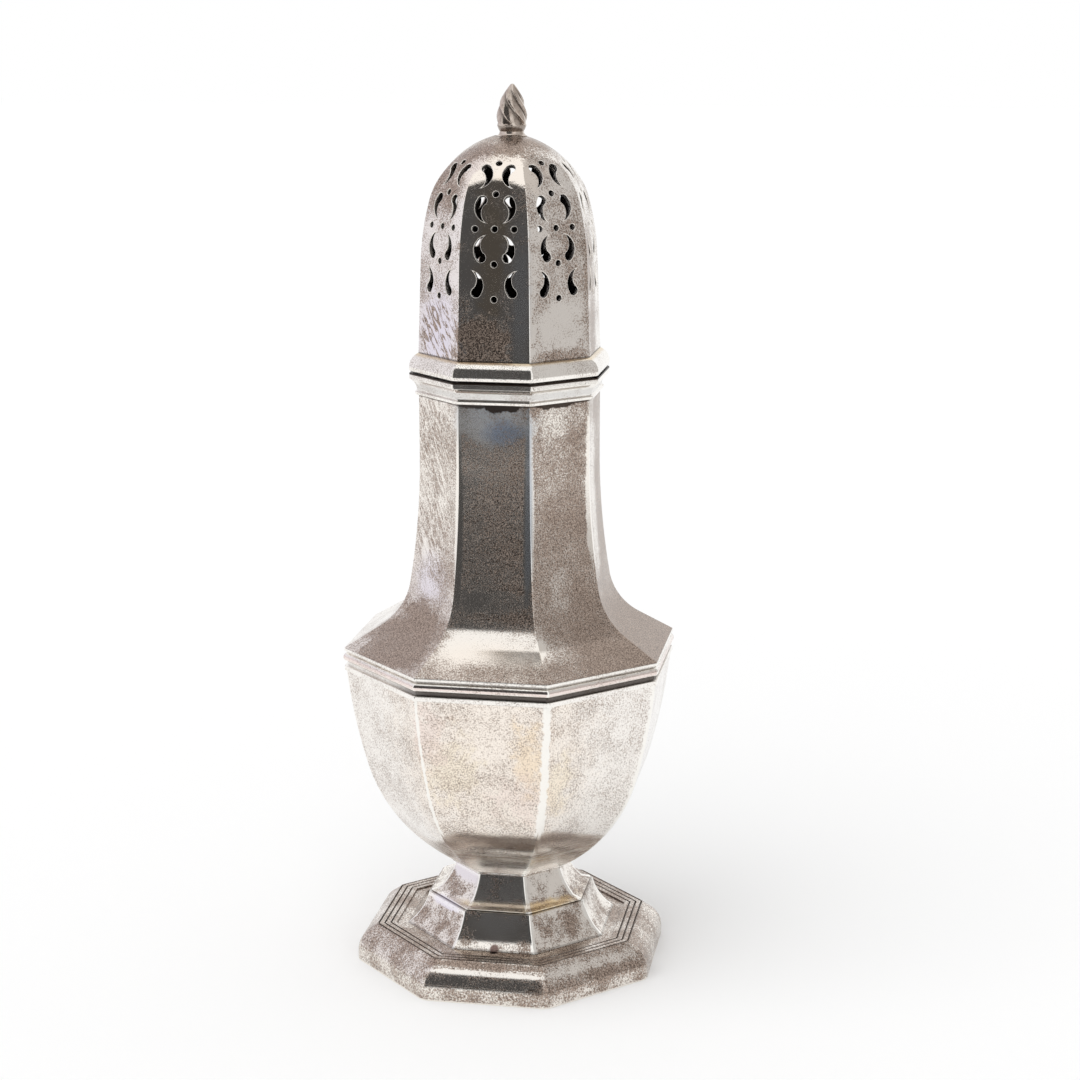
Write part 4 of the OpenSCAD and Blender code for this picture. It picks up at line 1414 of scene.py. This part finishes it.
# %% Finish the cover
dome_cleaner = [
    Spot(-0.35, (0, -16, 146), (7, 5, 12)),
    Spot(-0.6, (5.8, -16.9, 131), (2.2, 2, 7), 0.9, 0.35),
    Spot(-0.3, (12, -12, 132.5), (6, 6, 4)),
    # This spot clears the film where lilac is painted as a reflection.
    Spot(-0.3, (-12, -12, 131), (6, 6, 6)),
    Spot(-0.4, (0, -11.5, 162), (7.5, 6, 3.6)),
]
dome_browner = [
    Spot(0.75, (-2.8, -16.9, 129.5), (6.5, 3, 5.0), 0.5, 0.15),
    Spot(0.2, (12, -10, 148), (7, 7, 9)),
    Spot(0.5, (13, -12, 126.9), (7, 7, 1.6)),
    Spot(0.45, (17, -3, 138), (3, 5, 14)),
    Spot(0.55, (-10, -8, 159.5), (6, 6, 6), 0.3, 0.5),
]
dome_tones = [
    # Painted reflection: lilac on the left facet, as from the pale flag.
    Tone(LILAC_REFLECTION, 0.8, (-12, -12, 131), (6, 6, 8), 0.3, 0.6),
    Tone(WARM, 0.8, (0, -12, 162), (10, 7, 5)),
    Tone(ORANGE, 0.5, (-0.5, -16, 148), (2.8, 4, 14), 0.5, 0.6),
    # Painted reflection: a blue stripe beside the front's right corner, as on the neck.
    Tone(BLUE, 0.6, (5.2, -16.8, 140), (1.6, 2, 14), 0.3, 0.6, 0.25),
]
dress(silver("dome_silver", metal=(0.94, 0.90, 0.85), amount=0.34, grain=0.28, patch=6.0, patchiness=0.3,
             rubbed=0, rises=[Rise(162.5, 166.5, 0.65)], spots=dome_cleaner + dome_browner, tones=dome_tones,
             lines=[Line(rim.high, 0.3, 0.5, 0.65)],
             strokes=[Spot(4.0, (-12, -12, 130.5), (6, 6, 6))], stroke_size=(3.6, 0.9)),
      "cover_dome")
dress(silver("bezel_silver", amount=0.3, rubbed=0.3, polish=0.25), "cover_bezel")
dress(silver("finial_silver", metal=(0.68, 0.60, 0.53), amount=0.22, grain=0.9, patchiness=0.1, softness=0.9,
             rubbed=0),
      "finial_collar", "finial")

# %% [markdown]
# ## Floor and light
# The caster stands on a white floor in front of a white background. The light is a bright sky and one wide,
# soft sun from the left. The sky is a little brighter to the camera and in reflections than as a light,
# which keeps the background white without washing out the floor's soft shadow.

# %% Lay the floor and light the scene
floor_half = 4
sun_strength = 1.35
sun_softness = math.radians(70)
sun_lean = (math.radians(28), math.radians(-18), 0)
sky_light = 0.7
sky_seen = 1.0


def plain(name, values):
    """A material with values set on its shader's own sockets."""
    material = bpy.data.materials.new(name)
    material.use_nodes = True
    for label, value in values.items():
        material.node_tree.nodes["Principled BSDF"].inputs[label].default_value = value
    return material


floor_bm = bmesh.new()
bmesh.ops.create_grid(floor_bm, x_segments=1, y_segments=1, size=floor_half)
floor = placed("floor", mesh_of("floor", floor_bm))
paper = plain("paper", {"Base Color": (0.95, 0.95, 0.95, 1), "Roughness": 1.0, "Specular IOR Level": 0.0})
floor.data.materials.append(paper)

world = bpy.data.worlds.new("studio")
bpy.context.scene.world = world
world.use_nodes = True
tree = world.node_tree
rays = tree.nodes.new("ShaderNodeLightPath").outputs
seen = sums(tree, "ADD", sums(tree, "ADD", rays["Is Camera Ray"], rays["Is Glossy Ray"]),
            rays["Is Transmission Ray"], clamp=True)
strength = add(tree, "ShaderNodeMapRange", seen, 0.0, 1.0, sky_light, sky_seen)
tree.links.new(strength, tree.nodes["Background"].inputs["Strength"])
tree.nodes["Background"].inputs["Color"].default_value = (1, 1, 1, 1)

sun = bpy.data.lights.new("soft_sun", "SUN")
sun.energy = sun_strength
sun.angle = sun_softness
sun_stand = placed("soft_sun", sun)
sun_stand.rotation_euler = sun_lean
sun_stand.visible_glossy = False
print("floor of", 2 * floor_half, "m, sky and soft sun")

# %% [markdown]
# A mirror-like object shows its surroundings, so the studio is part of the finish. Photographers stand
# flags, which are cards of cloth, round silver for this. Here a dark flag at the camera darkens the front
# facets, a grey one stands at the right, and a pale one at the left. Only reflections see these flags.

# %% Stand the flags
Flag = namedtuple("Flag", "name start stop distance height colour")
flags = (Flag("dark_flag", -45, 15, 0.43, 0.70, (0.068, 0.066, 0.066)),
         Flag("right_flag", 50, 140, 0.8, 2.2, (0.57, 0.553, 0.543)),
         Flag("left_flag", -150, -60, 0.8, 2.2, (0.84, 0.82, 0.86)))
flag_steps = 24
unseen_by = ("camera", "diffuse", "transmission", "shadow", "volume_scatter")

for flag in flags:
    bm = bmesh.new()
    bm.verts.new((0, -flag.distance, 0))
    bmesh.ops.rotate(bm, matrix=Matrix.Rotation(math.radians(flag.start), 3, "Z"), verts=bm.verts)
    bmesh.ops.spin(bm, geom=bm.verts[:], axis=(0, 0, 1), angle=math.radians(flag.stop - flag.start),
                   steps=flag_steps)
    risen = bmesh.ops.extrude_edge_only(bm, edges=bm.edges[:])["geom"]
    top = [part for part in risen if isinstance(part, bmesh.types.BMVert)]
    bmesh.ops.translate(bm, vec=(0, 0, flag.height), verts=top)
    card = placed(flag.name, mesh_of(flag.name, bm))
    for rays_of in unseen_by:
        setattr(card, "visible_" + rays_of, False)
    glow = {"Base Color": (0, 0, 0, 1), "Specular IOR Level": 0.0, "Emission Color": (*flag.colour, 1),
            "Emission Strength": 1.0}
    card.data.materials.append(plain(flag.name, glow))
print("flags:", ", ".join(flag.name for flag in flags))
